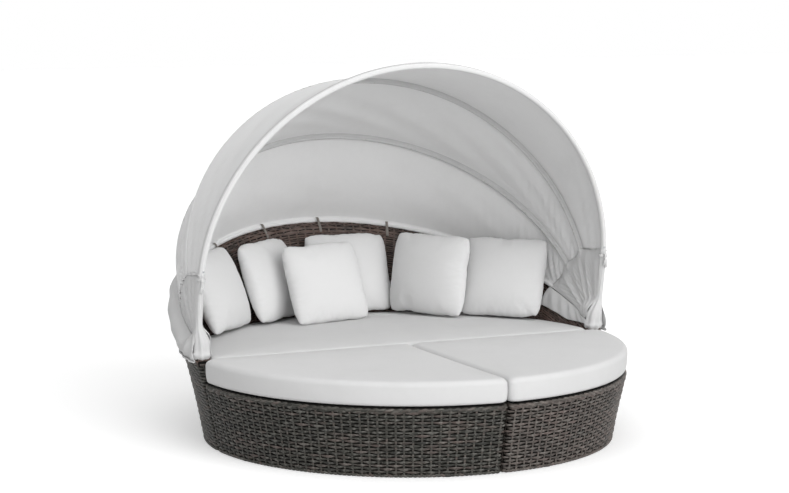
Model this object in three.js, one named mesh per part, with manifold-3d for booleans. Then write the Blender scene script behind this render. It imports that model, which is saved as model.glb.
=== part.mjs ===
// Round outdoor daybed: a half-round woven sofa, two quarter-round ottomans,
// boxed cushions, loose pillows and a folding four-bow fabric canopy.
// Millimetres, +Z up. The sofa's back is towards +Y and the ottomans stand at -Y.

import * as THREE from 'three';
import { mergeVertices } from 'three/addons/utils/BufferGeometryUtils.js';
import Module from 'manifold-3d';

const wasm = await Module();
wasm.setup();

// Driving dimensions: the woven wall
const shellFootRadius = 873;
const shellLean = 138;
const shellCurl = 86;
const shellProfileHeight = 800;
const armHeight = 380;
const backHeight = 814;
const wallThickness = 56;
const weaveThickness = 5;
const hemClearance = 14;
const wallCornerRadius = 16;

// Driving dimensions: seat, decks and cushions
const seatHeight = 296;
const cushionThickness = 100;
const cushionCrown = 13;
const cushionCornerRadius = 26;
const cushionTuck = 4;
const pillowWidth = 412;
const pillowHeight = 386;
const pillowDepth = 150;

// Driving dimensions: frame
const frameTube = 20;
const footRadius = 19;
const footHeight = 12;

// Driving dimensions: canopy
const bowTubeRadius = 8;
const bowPitch = 11;
const bowLeg = 260;
const rearBowLeg = 100;
const frontBowReach = 1172;
const middleBowReach = 1158;
const backBowReach = 1149;
const frontBowAngle = 98.9;
const middleBowAngle = 66.6;
const backBowAngle = 43.3;
const pivotStand = 36;
const pivotSeatDistance = 44;
const hemReach = 320;
const clothThickness = 2.4;
const goreSag = 16;

// Named clearances
const touchGap = 0.3;
const sectionGap = 0.8;
const cushionGap = 3;
const cushionFit = 6;
const cutOverrun = 2;

// Faces round small turned pieces
const turnedSides = 10;

// Plain geometry helpers

function degrees(angle) {
  return angle * Math.PI / 180;
}

function signedVolume(positions, index) {
  const a = new THREE.Vector3();
  const b = new THREE.Vector3();
  const c = new THREE.Vector3();
  let sum = 0;
  for (let i = 0; i < index.length; i += 3) {
    a.fromArray(positions, 3 * index[i]);
    b.fromArray(positions, 3 * index[i + 1]);
    c.fromArray(positions, 3 * index[i + 2]);
    sum += a.dot(b.cross(c));
  }
  return sum / 6;
}

// A closed body from points and triangles, with its faces turned outwards.
function closedBody(points, triangles) {
  const positions = points.flatMap((p) => [p.x, p.y, p.z]);
  let index = triangles.flat();
  if (signedVolume(positions, index) < 0) {
    index = triangles.flatMap(([a, b, c]) => [a, c, b]);
  }
  const geometry = new THREE.BufferGeometry();
  geometry.setAttribute('position', new THREE.Float32BufferAttribute(positions, 3));
  geometry.setIndex(index);
  geometry.computeVertexNormals();
  return geometry;
}

// Rings of equal counts joined one to the next. Each ring is a closed loop of points.
// A looped loft joins its last ring to its first; an open one is capped at both ends,
// by triangles taken from the flat outline given for the cap.
function loftRings(rings, capOutline = null) {
  const count = rings[0].length;
  const points = rings.flat();
  const triangles = [];
  const spans = capOutline ? rings.length - 1 : rings.length;
  for (let r = 0; r < spans; r += 1) {
    const here = r * count;
    const next = ((r + 1) % rings.length) * count;
    for (let i = 0; i < count; i += 1) {
      const j = (i + 1) % count;
      triangles.push([here + i, here + j, next + j], [here + i, next + j, next + i]);
    }
  }
  if (capOutline) {
    const last = (rings.length - 1) * count;
    const forward = THREE.ShapeUtils.area(capOutline) > 0;
    for (const [a, b, c] of THREE.ShapeUtils.triangulateShape(capOutline, [])) {
      const [p, q] = forward ? [b, c] : [c, b];
      triangles.push([a, q, p], [last + a, last + p, last + q]);
    }
  }
  return closedBody(points, triangles);
}

// A sheet with two faces: rows of points on the front, and as many on the back.
function thickSheet(frontRows, backRows) {
  const rows = frontRows.length;
  const count = frontRows[0].length;
  const points = [...frontRows.flat(), ...backRows.flat()];
  const back = rows * count;
  const triangles = [];
  const quad = (a, b, c, d) => triangles.push([a, b, c], [a, c, d]);
  for (let r = 0; r < rows - 1; r += 1) {
    for (let i = 0; i < count - 1; i += 1) {
      const a = r * count + i;
      quad(a, a + 1, a + count + 1, a + count);
      quad(back + a, back + a + count, back + a + count + 1, back + a + 1);
    }
    const left = r * count;
    const right = left + count - 1;
    quad(left, left + count, back + left + count, back + left);
    quad(right, back + right, back + right + count, right + count);
  }
  const top = (rows - 1) * count;
  for (let i = 0; i < count - 1; i += 1) {
    quad(i, back + i, back + i + 1, i + 1);
    quad(top + i, top + i + 1, back + top + i + 1, back + top + i);
  }
  return closedBody(points, triangles);
}

// Joining and cutting of closed bodies

function toSolid(geometry) {
  const bare = geometry.clone();
  bare.deleteAttribute('normal');
  bare.deleteAttribute('uv');
  const merged = mergeVertices(bare, touchGap / 1000);
  return new wasm.Manifold(new wasm.Mesh({
    numProp: 3,
    vertProperties: new Float32Array(merged.attributes.position.array),
    triVerts: new Uint32Array(merged.index.array),
  }));
}

function fromSolid(solid) {
  const mesh = solid.getMesh();
  const geometry = new THREE.BufferGeometry();
  geometry.setAttribute('position', new THREE.BufferAttribute(new Float32Array(mesh.vertProperties), 3));
  geometry.setIndex(new THREE.BufferAttribute(new Uint32Array(mesh.triVerts), 1));
  geometry.computeVertexNormals();
  return geometry;
}

function joined(geometries) {
  return fromSolid(geometries.map(toSolid).reduce((sum, solid) => sum.add(solid)));
}

function box(low, high) {
  const size = high.clone().sub(low);
  const middle = high.clone().add(low).multiplyScalar(0.5);
  return new THREE.BoxGeometry(size.x, size.y, size.z).translate(middle.x, middle.y, middle.z);
}

// The shell's profile: the wall leans out from its foot and curls further out as it rises.
function shellRadius(z) {
  const rise = z / shellProfileHeight;
  return shellFootRadius + shellLean * rise + shellCurl * rise * rise;
}

// The rim lies in one plane, low at the arms and high at the middle of the back.
const halfGap = sectionGap / 2;
const backRadius = shellRadius(backHeight);
const rimSlope = (backHeight - armHeight) / backRadius;
const rimTilt = Math.atan(rimSlope);

function rimHeight(y) {
  return armHeight + rimSlope * y;
}

// A point on the round wall at an angle, this far in from the outer face, under the rim plane.
const closingPasses = 12;

function underRim(angle, inset, drop) {
  let z = armHeight;
  let radius = shellRadius(z) - inset;
  for (let pass = 0; pass < closingPasses; pass += 1) {
    z = rimHeight(radius * Math.sin(angle)) - drop;
    radius = shellRadius(z) - inset;
  }
  return new THREE.Vector3(radius * Math.cos(angle), radius * Math.sin(angle), z);
}

// Plan outlines

function arcPoints(centreX, centreY, radius, from, to, steps) {
  const points = [];
  for (let i = 0; i <= steps; i += 1) {
    const angle = from + (to - from) * i / steps;
    points.push(new THREE.Vector2(centreX + radius * Math.cos(angle), centreY + radius * Math.sin(angle)));
  }
  return points;
}

const cornerSteps = 3;
const quarterSteps = 16;
const halfSteps = 28;
const leastCorner = 3;

// A quarter disc beside +X and -Y, with rounded corners, set in from two flat sides.
function quarterOutline(radius, side, corner, steps = quarterSteps) {
  const reach = Math.sqrt((radius - corner) ** 2 - (side + corner) ** 2);
  const swing = Math.atan2(side + corner, reach);
  return [
    ...arcPoints(side + corner, -side - corner, corner, Math.PI / 2, Math.PI, cornerSteps),
    ...arcPoints(side + corner, -reach, corner, Math.PI, Math.PI * 1.5 + swing, cornerSteps),
    ...arcPoints(0, 0, radius, Math.PI * 1.5 + swing, Math.PI * 2 - swing, steps).slice(1, -1),
    ...arcPoints(reach, -side - corner, corner, Math.PI * 2 - swing, Math.PI * 2.5, cornerSteps),
  ];
}

// A half disc beside +Y, with rounded corners, set in from its flat side.
function halfOutline(radius, side, corner, steps = halfSteps) {
  const reach = Math.sqrt((radius - corner) ** 2 - (side + corner) ** 2);
  const swing = Math.atan2(side + corner, reach);
  return [
    ...arcPoints(-reach, side + corner, corner, Math.PI - swing, Math.PI * 1.5, cornerSteps),
    ...arcPoints(reach, side + corner, corner, -Math.PI / 2, swing, cornerSteps),
    ...arcPoints(0, 0, radius, swing, Math.PI - swing, steps).slice(1, -1),
  ];
}

// Hidden tubes follow the same outlines in fewer straight lengths.
const tubeQuarterSteps = 8;
const tubeHalfSteps = 16;
const quarterTube = (radius, side, corner) => quarterOutline(radius, side, corner, tubeQuarterSteps);
const halfTube = (radius, side, corner) => halfOutline(radius, side, corner, tubeHalfSteps);

// One level loop of a wall: its outline at a height, moved in by an inset.
function levelLoop(outline, inset, z, corner = wallCornerRadius) {
  const rounded = Math.max(corner - inset, leastCorner);
  const flat = outline(shellRadius(z) - inset, halfGap + inset, rounded);
  return flat.map((p) => new THREE.Vector3(p.x, p.y, z));
}

function mirrored(geometry) {
  const index = geometry.index ? Array.from(geometry.index.array) : null;
  const flat = geometry.clone().scale(-1, 1, 1);
  if (index) {
    for (let i = 0; i < index.length; i += 3) {
      [index[i + 1], index[i + 2]] = [index[i + 2], index[i + 1]];
    }
    flat.setIndex(index);
  }
  flat.computeVertexNormals();
  return flat;
}

// Materials

const materials = {
  wicker: new THREE.MeshStandardMaterial({ color: 0x4a423c, roughness: 0.7, metalness: 0 }),
  steel: new THREE.MeshStandardMaterial({ color: 0x2a2826, roughness: 0.5, metalness: 0.6 }),
  bowTube: new THREE.MeshStandardMaterial({ color: 0xb9b9b7, roughness: 0.4, metalness: 0.5 }),
  zinc: new THREE.MeshStandardMaterial({ color: 0x9a9c9e, roughness: 0.35, metalness: 0.9 }),
  plastic: new THREE.MeshStandardMaterial({ color: 0x151413, roughness: 0.6, metalness: 0 }),
  canopyCloth: new THREE.MeshStandardMaterial({ color: 0xcfcfce, roughness: 0.9, metalness: 0 }),
  cushionCloth: new THREE.MeshStandardMaterial({ color: 0xe4e4e3, roughness: 0.95, metalness: 0 }),
};

const daybed = new THREE.Group();

function place(name, geometry, material) {
  const mesh = new THREE.Mesh(geometry, material);
  mesh.name = name;
  daybed.add(mesh);
  return mesh;
}

// The rounded woven top of a low wall: up the outside, over the frame tube and inwards.
const lipWidth = 34;
const lipRound = 7;
const lipThickness = 6;
const tubeInset = 7;

function lippedWall(outline) {
  const middle = (hemClearance + seatHeight) / 2;
  const rows = [
    [0, hemClearance],
    [0, middle],
    [0, seatHeight - lipRound],
    [lipRound, seatHeight],
    [lipWidth, seatHeight],
    [lipWidth, seatHeight - lipThickness],
    [weaveThickness, seatHeight - lipThickness],
    [weaveThickness, middle],
    [weaveThickness, hemClearance],
  ];
  return loftRings(rows.map(([inset, z]) => levelLoop(outline, inset, z)));
}

// A level square tube that follows an outline.
function tubeLoop(outline, inset, low) {
  const rows = [
    [inset, low],
    [inset, low + frameTube],
    [inset + frameTube, low + frameTube],
    [inset + frameTube, low],
  ];
  return loftRings(rows.map(([i, z]) => levelLoop(outline, i, z)));
}

const deckThickness = lipThickness;
const joistTop = seatHeight - deckThickness - touchGap;
const seatTubeLow = joistTop - frameTube;

// A slatted deck: one plate with long slots left between its slats.
const slatWidth = 62;
const slotWidth = 28;
const slatPitch = slatWidth + slotWidth;
const deckMargin = 46;
const plainSlats = 3;

function slattedDeck(plan, slots) {
  const low = seatHeight - deckThickness;
  const shape = new THREE.Shape(plan);
  const plate = new THREE.ExtrudeGeometry(shape, { depth: deckThickness, bevelEnabled: false });
  const cuts = slots.map(([left, right, y]) => box(
    new THREE.Vector3(left, y, low - cutOverrun),
    new THREE.Vector3(right, y + slotWidth, seatHeight + cutOverrun),
  ));
  return fromSolid(toSolid(plate.translate(0, 0, low)).subtract(toSolid(joined(cuts))));
}

// How far a deck of this radius runs along X at a distance from the middle.
function deckRun(radius, y) {
  return Math.sqrt(Math.max(radius ** 2 - y ** 2, 0)) - deckMargin;
}

const footPlateShare = 0.8;
const footPlateRadius = footPlateShare * footRadius;

function foot() {
  const top = footHeight - touchGap;
  const profile = [
    new THREE.Vector2(0, 0),
    new THREE.Vector2(footRadius, 0),
    new THREE.Vector2(footRadius, top / 2),
    new THREE.Vector2(footPlateRadius, top),
    new THREE.Vector2(0, top),
  ];
  const round = new THREE.LatheGeometry(profile, turnedSides);
  return fromSolid(toSolid(round.rotateX(Math.PI / 2)));
}

// Ottomans

const ottomanTubeMiddle = tubeInset + frameTube / 2;
const ottomanPostAngles = [-30, -60];
const ottomanJoistShares = [1 / 3, 2 / 3];

function ottomanFrame() {
  const low = tubeLoop(quarterTube, tubeInset, footHeight);
  const high = tubeLoop(quarterTube, tubeInset, seatTubeLow);
  const half = frameTube / 2;
  const posts = [];
  const cornerAt = halfGap + ottomanTubeMiddle;
  const wide = shellRadius(footHeight) - ottomanTubeMiddle;
  const postPlaces = [
    [cornerAt, -cornerAt - frameTube],
    [cornerAt, -wide + frameTube],
    [wide - frameTube, -cornerAt],
  ];
  for (const [x, y] of postPlaces) {
    posts.push(box(
      new THREE.Vector3(x - half, y - half, footHeight + half),
      new THREE.Vector3(x + half, y + half, seatTubeLow + half),
    ));
  }
  for (const angle of ottomanPostAngles) {
    posts.push(wallPost(degrees(angle), tubeInset, footHeight + half, seatTubeLow + half));
  }
  const joists = ottomanJoistShares.map((share) => {
    const y = -share * wide;
    const run = Math.sqrt((shellRadius(seatTubeLow) - ottomanTubeMiddle) ** 2 - y ** 2);
    return box(
      new THREE.Vector3(cornerAt, y - half, seatTubeLow),
      new THREE.Vector3(run, y + half, joistTop),
    );
  });
  return joined([low, high, ...posts, ...joists]);
}

// An upright square tube inside the wall, following the wall's lean.
const postSteps = 4;

function wallPost(angle, inset, low, high) {
  const across = new THREE.Vector3(-Math.sin(angle), Math.cos(angle), 0);
  const out = new THREE.Vector3(Math.cos(angle), Math.sin(angle), 0);
  const half = frameTube / 2;
  const corners = [[-half, -half], [half, -half], [half, half], [-half, half]];
  const rings = [];
  for (let i = 0; i <= postSteps; i += 1) {
    const z = low + (high - low) * i / postSteps;
    const radius = shellRadius(z) - inset - half;
    rings.push(corners.map(([a, b]) => out.clone().multiplyScalar(radius + a)
      .addScaledVector(across, b).setZ(z)));
  }
  return loftRings(rings, corners.map(([a, b]) => new THREE.Vector2(a, b)));
}

function ottomanDeck() {
  const side = halfGap + lipWidth + touchGap;
  const radius = shellRadius(seatHeight) - lipWidth - touchGap - lipRound / 2;
  const plan = quarterOutline(radius, side, leastCorner);
  const slots = [];
  for (let y = -side - deckMargin - slotWidth; y > -radius + plainSlats * slatPitch; y -= slatPitch) {
    slots.push([side + deckMargin, deckRun(radius, y), y]);
  }
  return slattedDeck(plan, slots);
}

// A boxed cushion: crowned on top, its sides pulled in between the two seams. The crown is
// a run of rings, each a share of the way out to the seam and of the way up.
const seamShare = 0.09;
const undersideShare = 0.5;
const crownShares = [[0.88, 0.45], [0.66, 0.83], [0.34, 1]];

function boxedCushion(outline, radiusAt, side, drawIn) {
  const corner = cushionCornerRadius;
  const low = seatHeight + touchGap;
  const high = low + cushionThickness;
  const seam = seamShare * cushionThickness;
  const loop = (radius, extra, z) => pulledIn(outline(radius - extra, side + extra, corner), drawIn)
    .map((p) => new THREE.Vector3(p.x, p.y, z));
  const bottom = radiusAt(low);
  const top = radiusAt(high);
  const middle = (bottom + top) / 2;
  const centre = centroid(outline(top, side, corner));
  const towards = (ring, share, z) => ring.map((p) => new THREE.Vector3(
    centre.x + (p.x - centre.x) * share,
    centre.y + (p.y - centre.y) * share,
    z,
  ));
  const rimTop = loop(top, seam, high);
  const rings = [
    towards(loop(bottom, seam, low), undersideShare, low),
    loop(bottom, seam, low),
    loop(bottom, 0, low + seam),
    loop(middle, cushionTuck, (low + high) / 2),
    loop(top, 0, high - seam),
    rimTop,
    ...crownShares.map(([out, up]) => towards(rimTop, out, high + up * cushionCrown)),
  ];
  const flat = rings[0].map((p) => new THREE.Vector2(p.x, p.y));
  return loftRings(rings, flat);
}

function centroid(points) {
  const sum = points.reduce((total, p) => total.add(p), new THREE.Vector2());
  return sum.multiplyScalar(1 / points.length);
}

// The straight runs of an outline are the long gaps between its points: each gets middle
// points that are drawn in.
const drawnShares = [0.25, 0.5, 0.75];

function pulledIn(points, depth) {
  const result = [];
  points.forEach((p, i) => {
    const next = points[(i + 1) % points.length];
    result.push(p);
    if (p.distanceTo(next) > 2 * cushionCornerRadius + cushionThickness) {
      const along = next.clone().sub(p).normalize();
      const inward = new THREE.Vector2(-along.y, along.x);
      for (const share of drawnShares) {
        const pull = depth * Math.sin(Math.PI * share);
        result.push(p.clone().lerp(next, share).addScaledVector(inward, pull));
      }
    }
  });
  return result;
}

const edgeDrawIn = 5;

function ottomanCushion() {
  const flush = (z) => shellRadius(seatHeight) + (shellRadius(z) - shellRadius(seatHeight)) / 4;
  return boxedCushion(quarterOutline, flush, cushionGap / 2, edgeDrawIn);
}

// Sofa: the woven wall. Its outer skin turns round the front end of each arm.

function wallSkinPlan(z, inset) {
  const radius = shellRadius(z) - inset;
  const side = halfGap + inset;
  const corner = wallCornerRadius - inset;
  const reach = Math.sqrt((radius - corner) ** 2 - (side + corner) ** 2);
  const swing = Math.atan2(side + corner, reach);
  const end = shellRadius(z) - wallThickness;
  return [
    new THREE.Vector2(end, side),
    ...arcPoints(reach, side + corner, corner, -Math.PI / 2, swing, cornerSteps),
    ...arcPoints(0, 0, radius, swing, Math.PI - swing, halfSteps).slice(1, -1),
    ...arcPoints(-reach, side + corner, corner, Math.PI - swing, Math.PI * 1.5, cornerSteps),
    new THREE.Vector2(-end, side),
  ];
}

const capHeight = 18;
const capOverhang = 2;
const capChamfer = 5;
const skinRows = 5;

// Rows of a skin from a low edge up to the cap that follows the rim.
function skinRowsTo(plan, low, inset, rows) {
  const top = plan(armHeight, inset).map((_, i) => {
    let z = armHeight;
    for (let pass = 0; pass < closingPasses; pass += 1) {
      z = rimHeight(plan(z, inset)[i].y) - capHeight - touchGap;
    }
    return z;
  });
  const result = [];
  for (let r = 0; r <= rows; r += 1) {
    result.push(top.map((high, i) => {
      const z = low + (high - low) * r / rows;
      const p = plan(z, inset)[i];
      return new THREE.Vector3(p.x, p.y, z);
    }));
  }
  return result;
}

function sofaOuterWeave() {
  return thickSheet(
    skinRowsTo(wallSkinPlan, hemClearance, 0, skinRows),
    skinRowsTo(wallSkinPlan, hemClearance, weaveThickness, skinRows),
  );
}

function innerSkinPlan(z, inset) {
  const radius = shellRadius(z) - inset;
  const start = Math.asin((halfGap + weaveThickness + touchGap) / radius);
  return arcPoints(0, 0, radius, start, Math.PI - start, halfSteps);
}

const innerSkinRows = 3;

function sofaInnerWeave() {
  const low = joistTop + touchGap;
  return thickSheet(
    skinRowsTo(innerSkinPlan, low, wallThickness, innerSkinRows),
    skinRowsTo(innerSkinPlan, low, wallThickness - weaveThickness, innerSkinRows),
  );
}

// A bar swept along the rim: its section is given as inset from the outer face and drop
// under the rim plane.
function rimSweep(section, endSetback, steps = halfSteps) {
  const middle = shellRadius(armHeight) - wallThickness / 2;
  const start = Math.asin((halfGap + endSetback) / middle);
  const rings = [];
  for (let i = 0; i <= steps; i += 1) {
    const angle = start + (Math.PI - 2 * start) * i / steps;
    rings.push(section.map(([inset, drop]) => underRim(angle, inset, drop)));
  }
  return loftRings(rings, section.map(([inset, drop]) => new THREE.Vector2(inset, drop)));
}

function sofaRimBraid() {
  const near = -capOverhang;
  const far = wallThickness + capOverhang;
  return rimSweep([
    [near, capHeight],
    [near, capChamfer],
    [near + capChamfer, 0],
    [far - capChamfer, 0],
    [far, capChamfer],
    [far, capHeight],
  ], 0);
}

// The flat woven front under the sofa's seat, with the same lip as the ottomans.
function sofaFrontWeave() {
  const y = halfGap;
  const section = [
    [y, hemClearance],
    [y, seatHeight - lipRound],
    [y + lipRound, seatHeight],
    [y + lipWidth, seatHeight],
    [y + lipWidth, seatHeight - lipThickness],
    [y + weaveThickness, seatHeight - lipThickness],
    [y + weaveThickness, hemClearance],
  ];
  const halfWidth = (z) => shellRadius(z) - wallThickness - lipThickness / 2;
  const rings = [-1, 1].map((side) => section.map(
    ([depth, z]) => new THREE.Vector3(side * halfWidth(z), depth, z),
  ));
  return loftRings(rings, section.map(([depth, z]) => new THREE.Vector2(depth, z)));
}

const wallTubeInset = (wallThickness - frameTube) / 2;
const postAngles = [8, 35, 62, 90, 118, 145, 172];
const frontPostShares = [-0.45, 0, 0.45];
const sofaFootAngles = [10, 60, 120, 170];
const ottomanFootAngles = [-15, -75];

function sofaFrame() {
  const half = frameTube / 2;
  const low = tubeLoop(halfTube, wallTubeInset, footHeight);
  const seat = tubeLoop(halfTube, wallTubeInset, seatTubeLow);
  const high = capHeight + touchGap;
  const rim = rimSweep([
    [wallTubeInset, high + frameTube],
    [wallTubeInset, high],
    [wallTubeInset + frameTube, high],
    [wallTubeInset + frameTube, high + frameTube],
  ], weaveThickness + touchGap, tubeHalfSteps);
  const posts = postAngles.map((angle) => {
    const top = underRim(degrees(angle), wallTubeInset + half, high + half).z;
    return wallPost(degrees(angle), wallTubeInset, footHeight + half, top);
  });
  const railY = halfGap + wallTubeInset + half;
  const ring = shellRadius(seatTubeLow) - wallTubeInset - half;
  const fronts = frontPostShares.flatMap((share) => {
    const x = share * ring;
    return [
      box(
        new THREE.Vector3(x - half, railY - half, footHeight + half),
        new THREE.Vector3(x + half, railY + half, seatTubeLow + half),
      ),
      box(
        new THREE.Vector3(x - half, railY, seatTubeLow),
        new THREE.Vector3(x + half, Math.sqrt(ring ** 2 - x ** 2), joistTop),
      ),
    ];
  });
  return joined([low, seat, rim, ...posts, ...fronts]);
}

function sofaDeck() {
  const inset = wallThickness + touchGap + lipThickness / 2;
  const radius = shellRadius(seatHeight - deckThickness) - inset;
  const side = halfGap + lipWidth + touchGap;
  const plan = halfOutline(radius, side, leastCorner);
  const slots = [];
  for (let y = side + deckMargin; y < radius - plainSlats * slatPitch; y += slatPitch) {
    const run = deckRun(radius, y + slotWidth);
    slots.push([slatWidth / 2, run, y], [-run, -slatWidth / 2, y]);
  }
  return slattedDeck(plan, slots);
}

// The seat cushion keeps clear of the wall and of the bolt ends above its edge.
function seatCushion() {
  const boltSide = pivotX - boltReach - touchGap;
  const inside = (z) => Math.min(shellRadius(z) - wallThickness - cushionFit, boltSide);
  return boxedCushion(halfOutline, inside, cushionGap / 2, edgeDrawIn);
}

// Canopy: the pivots stand on the rim at the front end of each arm.

const seatPoint = underRim(Math.asin(pivotSeatDistance / shellRadius(armHeight)), wallThickness / 2, 0);
const pivotX = seatPoint.x;
const pivotY = seatPoint.y - pivotStand * Math.sin(rimTilt);
const pivotZ = seatPoint.z + pivotStand * Math.cos(rimTilt);

// The rear bow rests on the rim at the middle of the back.
const rearRestY = backRadius - wallThickness / 2;
const rearRestZ = rimHeight(rearRestY) + (bowTubeRadius + touchGap) / Math.cos(rimTilt);
const rearBowAngle = Math.atan2(rearRestZ - pivotZ, rearRestY - pivotY) * 180 / Math.PI;
const rearBowReach = Math.hypot(rearRestZ - pivotZ, rearRestY - pivotY);

const bows = [
  { name: 'bow_front', step: 1.5, reach: frontBowReach, leg: bowLeg, angle: frontBowAngle },
  { name: 'bow_middle', step: 0.5, reach: middleBowReach, leg: bowLeg, angle: middleBowAngle },
  { name: 'bow_back', step: -0.5, reach: backBowReach, leg: bowLeg, angle: backBowAngle },
  { name: 'bow_rear', step: -1.5, reach: rearBowReach, leg: rearBowLeg, angle: rearBowAngle },
].map((bow) => ({ ...bow, halfWidth: pivotX + bow.step * bowPitch }));

const lugLength = 111;
const lugThickness = 3;
const lugRadius = 11;
const boltRadius = 4;
const boltFit = 0.3;
const bushRadius = 9;
const bushLength = bowPitch - 2 * touchGap;
const lugOverlap = 14;
const tubeSides = 4;
const plateCurveSteps = 5;
const nutSides = 6;
const bowSteps = 26;
const bowArcShare = 0.86;

// The bow in its own upright plane: straight legs and a half-ellipse over them.
class BowCurve extends THREE.Curve {
  constructor(bow, start) {
    super();
    this.bow = bow;
    this.start = start;
  }

  getPoint(t, target = new THREE.Vector3()) {
    const { halfWidth, reach, leg } = this.bow;
    const legShare = (1 - bowArcShare) / 2;
    if (t < legShare) {
      return target.set(halfWidth, 0, this.start + (leg - this.start) * t / legShare);
    }
    if (t > 1 - legShare) {
      return target.set(-halfWidth, 0, this.start + (leg - this.start) * (1 - t) / legShare);
    }
    const angle = Math.PI * (t - legShare) / bowArcShare;
    return target.set(halfWidth * Math.cos(angle), 0, leg + (reach - leg) * Math.sin(angle));
  }
}

function bowGeometry(bow) {
  const start = Math.min(lugLength, bow.leg - lugOverlap);
  const section = new THREE.Shape().absarc(0, 0, bowTubeRadius, 0, Math.PI * 2, false);
  const tube = new THREE.ExtrudeGeometry(section, {
    steps: bowSteps,
    curveSegments: tubeSides,
    extrudePath: new BowCurve(bow, start),
  });
  const lugs = [-1, 1].map((side) => bowLug(side * bow.halfWidth, start));
  return { tube, lugs };
}

// The flattened end of a bow, with the bush that turns on the pivot bolt.
function bowLug(x, end) {
  const plan = new THREE.Shape();
  plan.moveTo(-bowTubeRadius, end + lugOverlap);
  plan.lineTo(-lugRadius, end - lugRadius);
  plan.absarc(0, 0, lugRadius, Math.PI, Math.PI * 2, false);
  plan.lineTo(lugRadius, end - lugRadius);
  plan.lineTo(bowTubeRadius, end + lugOverlap);
  const plate = new THREE.ExtrudeGeometry(plan, {
    depth: lugThickness, bevelEnabled: false, curveSegments: plateCurveSteps,
  }).translate(0, 0, -lugThickness / 2).rotateX(Math.PI / 2).rotateZ(Math.PI / 2).translate(x, 0, 0);
  const bush = new THREE.CylinderGeometry(bushRadius, bushRadius, bushLength, turnedSides)
    .rotateZ(Math.PI / 2).translate(x, 0, 0);
  const bore = new THREE.CylinderGeometry(
    boltRadius + boltFit, boltRadius + boltFit, bushLength + 2 * cutOverrun, turnedSides,
  ).rotateZ(Math.PI / 2).translate(x, 0, 0);
  return { plate, bush, bore };
}

function bowMesh(bow) {
  const { tube, lugs } = bowGeometry(bow);
  let solid = toSolid(tube);
  for (const { plate, bush, bore } of lugs) {
    solid = solid.add(toSolid(plate)).add(toSolid(bush)).subtract(toSolid(bore));
  }
  const mesh = place(bow.name, fromSolid(solid), materials.bowTube);
  mesh.position.set(0, pivotY, pivotZ);
  mesh.rotation.x = degrees(bow.angle - 90);
}

// The U bracket that carries the bolt, standing on the rim.
const bracketThickness = 4;
const bracketHalfLength = 28;
const cheekTopRadius = 13;
const cheekInside = 1.5 * bowPitch + bushLength / 2 + touchGap;
const bracketHalfWidth = cheekInside + bracketThickness;

function pivotBracket() {
  const cheek = new THREE.Shape();
  cheek.moveTo(-bracketHalfLength, 0);
  cheek.lineTo(bracketHalfLength, 0);
  cheek.lineTo(bracketHalfLength, bracketThickness);
  cheek.absarc(0, pivotStand, cheekTopRadius, 0, Math.PI, false);
  cheek.lineTo(-bracketHalfLength, bracketThickness);
  const sideAt = (x) => new THREE.ExtrudeGeometry(cheek, {
    depth: bracketThickness, bevelEnabled: false, curveSegments: plateCurveSteps,
  }).rotateX(Math.PI / 2).rotateZ(Math.PI / 2).translate(x, 0, 0);
  const base = box(
    new THREE.Vector3(-bracketHalfWidth, -bracketHalfLength, touchGap),
    new THREE.Vector3(bracketHalfWidth, bracketHalfLength, bracketThickness),
  );
  const bore = new THREE.CylinderGeometry(
    boltRadius + boltFit, boltRadius + boltFit, 2 * bracketHalfWidth + 2 * cutOverrun, turnedSides,
  ).rotateZ(Math.PI / 2).translate(0, 0, pivotStand);
  const trim = box(
    new THREE.Vector3(-2 * bracketHalfWidth, -2 * bracketHalfLength, -pivotStand),
    new THREE.Vector3(2 * bracketHalfWidth, 2 * bracketHalfLength, touchGap),
  );
  const solid = toSolid(base)
    .add(toSolid(sideAt(cheekInside)))
    .add(toSolid(sideAt(-bracketHalfWidth)))
    .subtract(toSolid(bore))
    .subtract(toSolid(trim));
  return fromSolid(solid);
}

const boltHeadRadius = 6.5;
const boltHeadHeight = 5;
const boltTail = 1.5;
const boltReach = bracketHalfWidth + boltHeadHeight + boltTail;

// Bolt and nut lie along X, with the head on the outside of the arm.
function pivotBolt() {
  const shankEnd = bracketHalfWidth + touchGap;
  const profile = [
    new THREE.Vector2(0, -boltReach),
    new THREE.Vector2(boltRadius, -boltReach),
    new THREE.Vector2(boltRadius, shankEnd),
    new THREE.Vector2(boltHeadRadius, shankEnd),
    new THREE.Vector2(boltHeadRadius, shankEnd + boltHeadHeight),
    new THREE.Vector2(0, shankEnd + boltHeadHeight),
  ];
  return fromSolid(toSolid(new THREE.LatheGeometry(profile, turnedSides).rotateZ(-Math.PI / 2)));
}

function pivotNut() {
  const inner = boltRadius + boltFit;
  const near = -(bracketHalfWidth + touchGap);
  const far = near - boltHeadHeight;
  const ring = new THREE.CylinderGeometry(boltHeadRadius, boltHeadRadius, boltHeadHeight, nutSides)
    .rotateZ(Math.PI / 2).translate((near + far) / 2, 0, 0);
  const bore = new THREE.CylinderGeometry(inner, inner, boltHeadHeight + 2 * cutOverrun, turnedSides)
    .rotateZ(Math.PI / 2).translate((near + far) / 2, 0, 0);
  return fromSolid(toSolid(ring).subtract(toSolid(bore)));
}

// A point over a bow: its place along the hoop, moved out from the tube and off its plane.
function overBow(bow, angle, out, forward = 0) {
  const rise = bow.reach - bow.leg + out;
  const x = (bow.halfWidth + out) * Math.cos(angle);
  const along = bow.leg + rise * Math.sin(angle);
  return pivotFrame(bow.angle, x, along, forward);
}

function pivotFrame(angle, x, along, forward) {
  const turn = degrees(angle);
  return new THREE.Vector3(
    x,
    pivotY + along * Math.cos(turn) - forward * Math.sin(turn),
    pivotZ + along * Math.sin(turn) + forward * Math.cos(turn),
  );
}

const goreSteps = 26;
const goreRows = 3;
const seamHalfGap = 0.4;
const frontOverhang = 10;
const rearSetback = 2;

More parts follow.
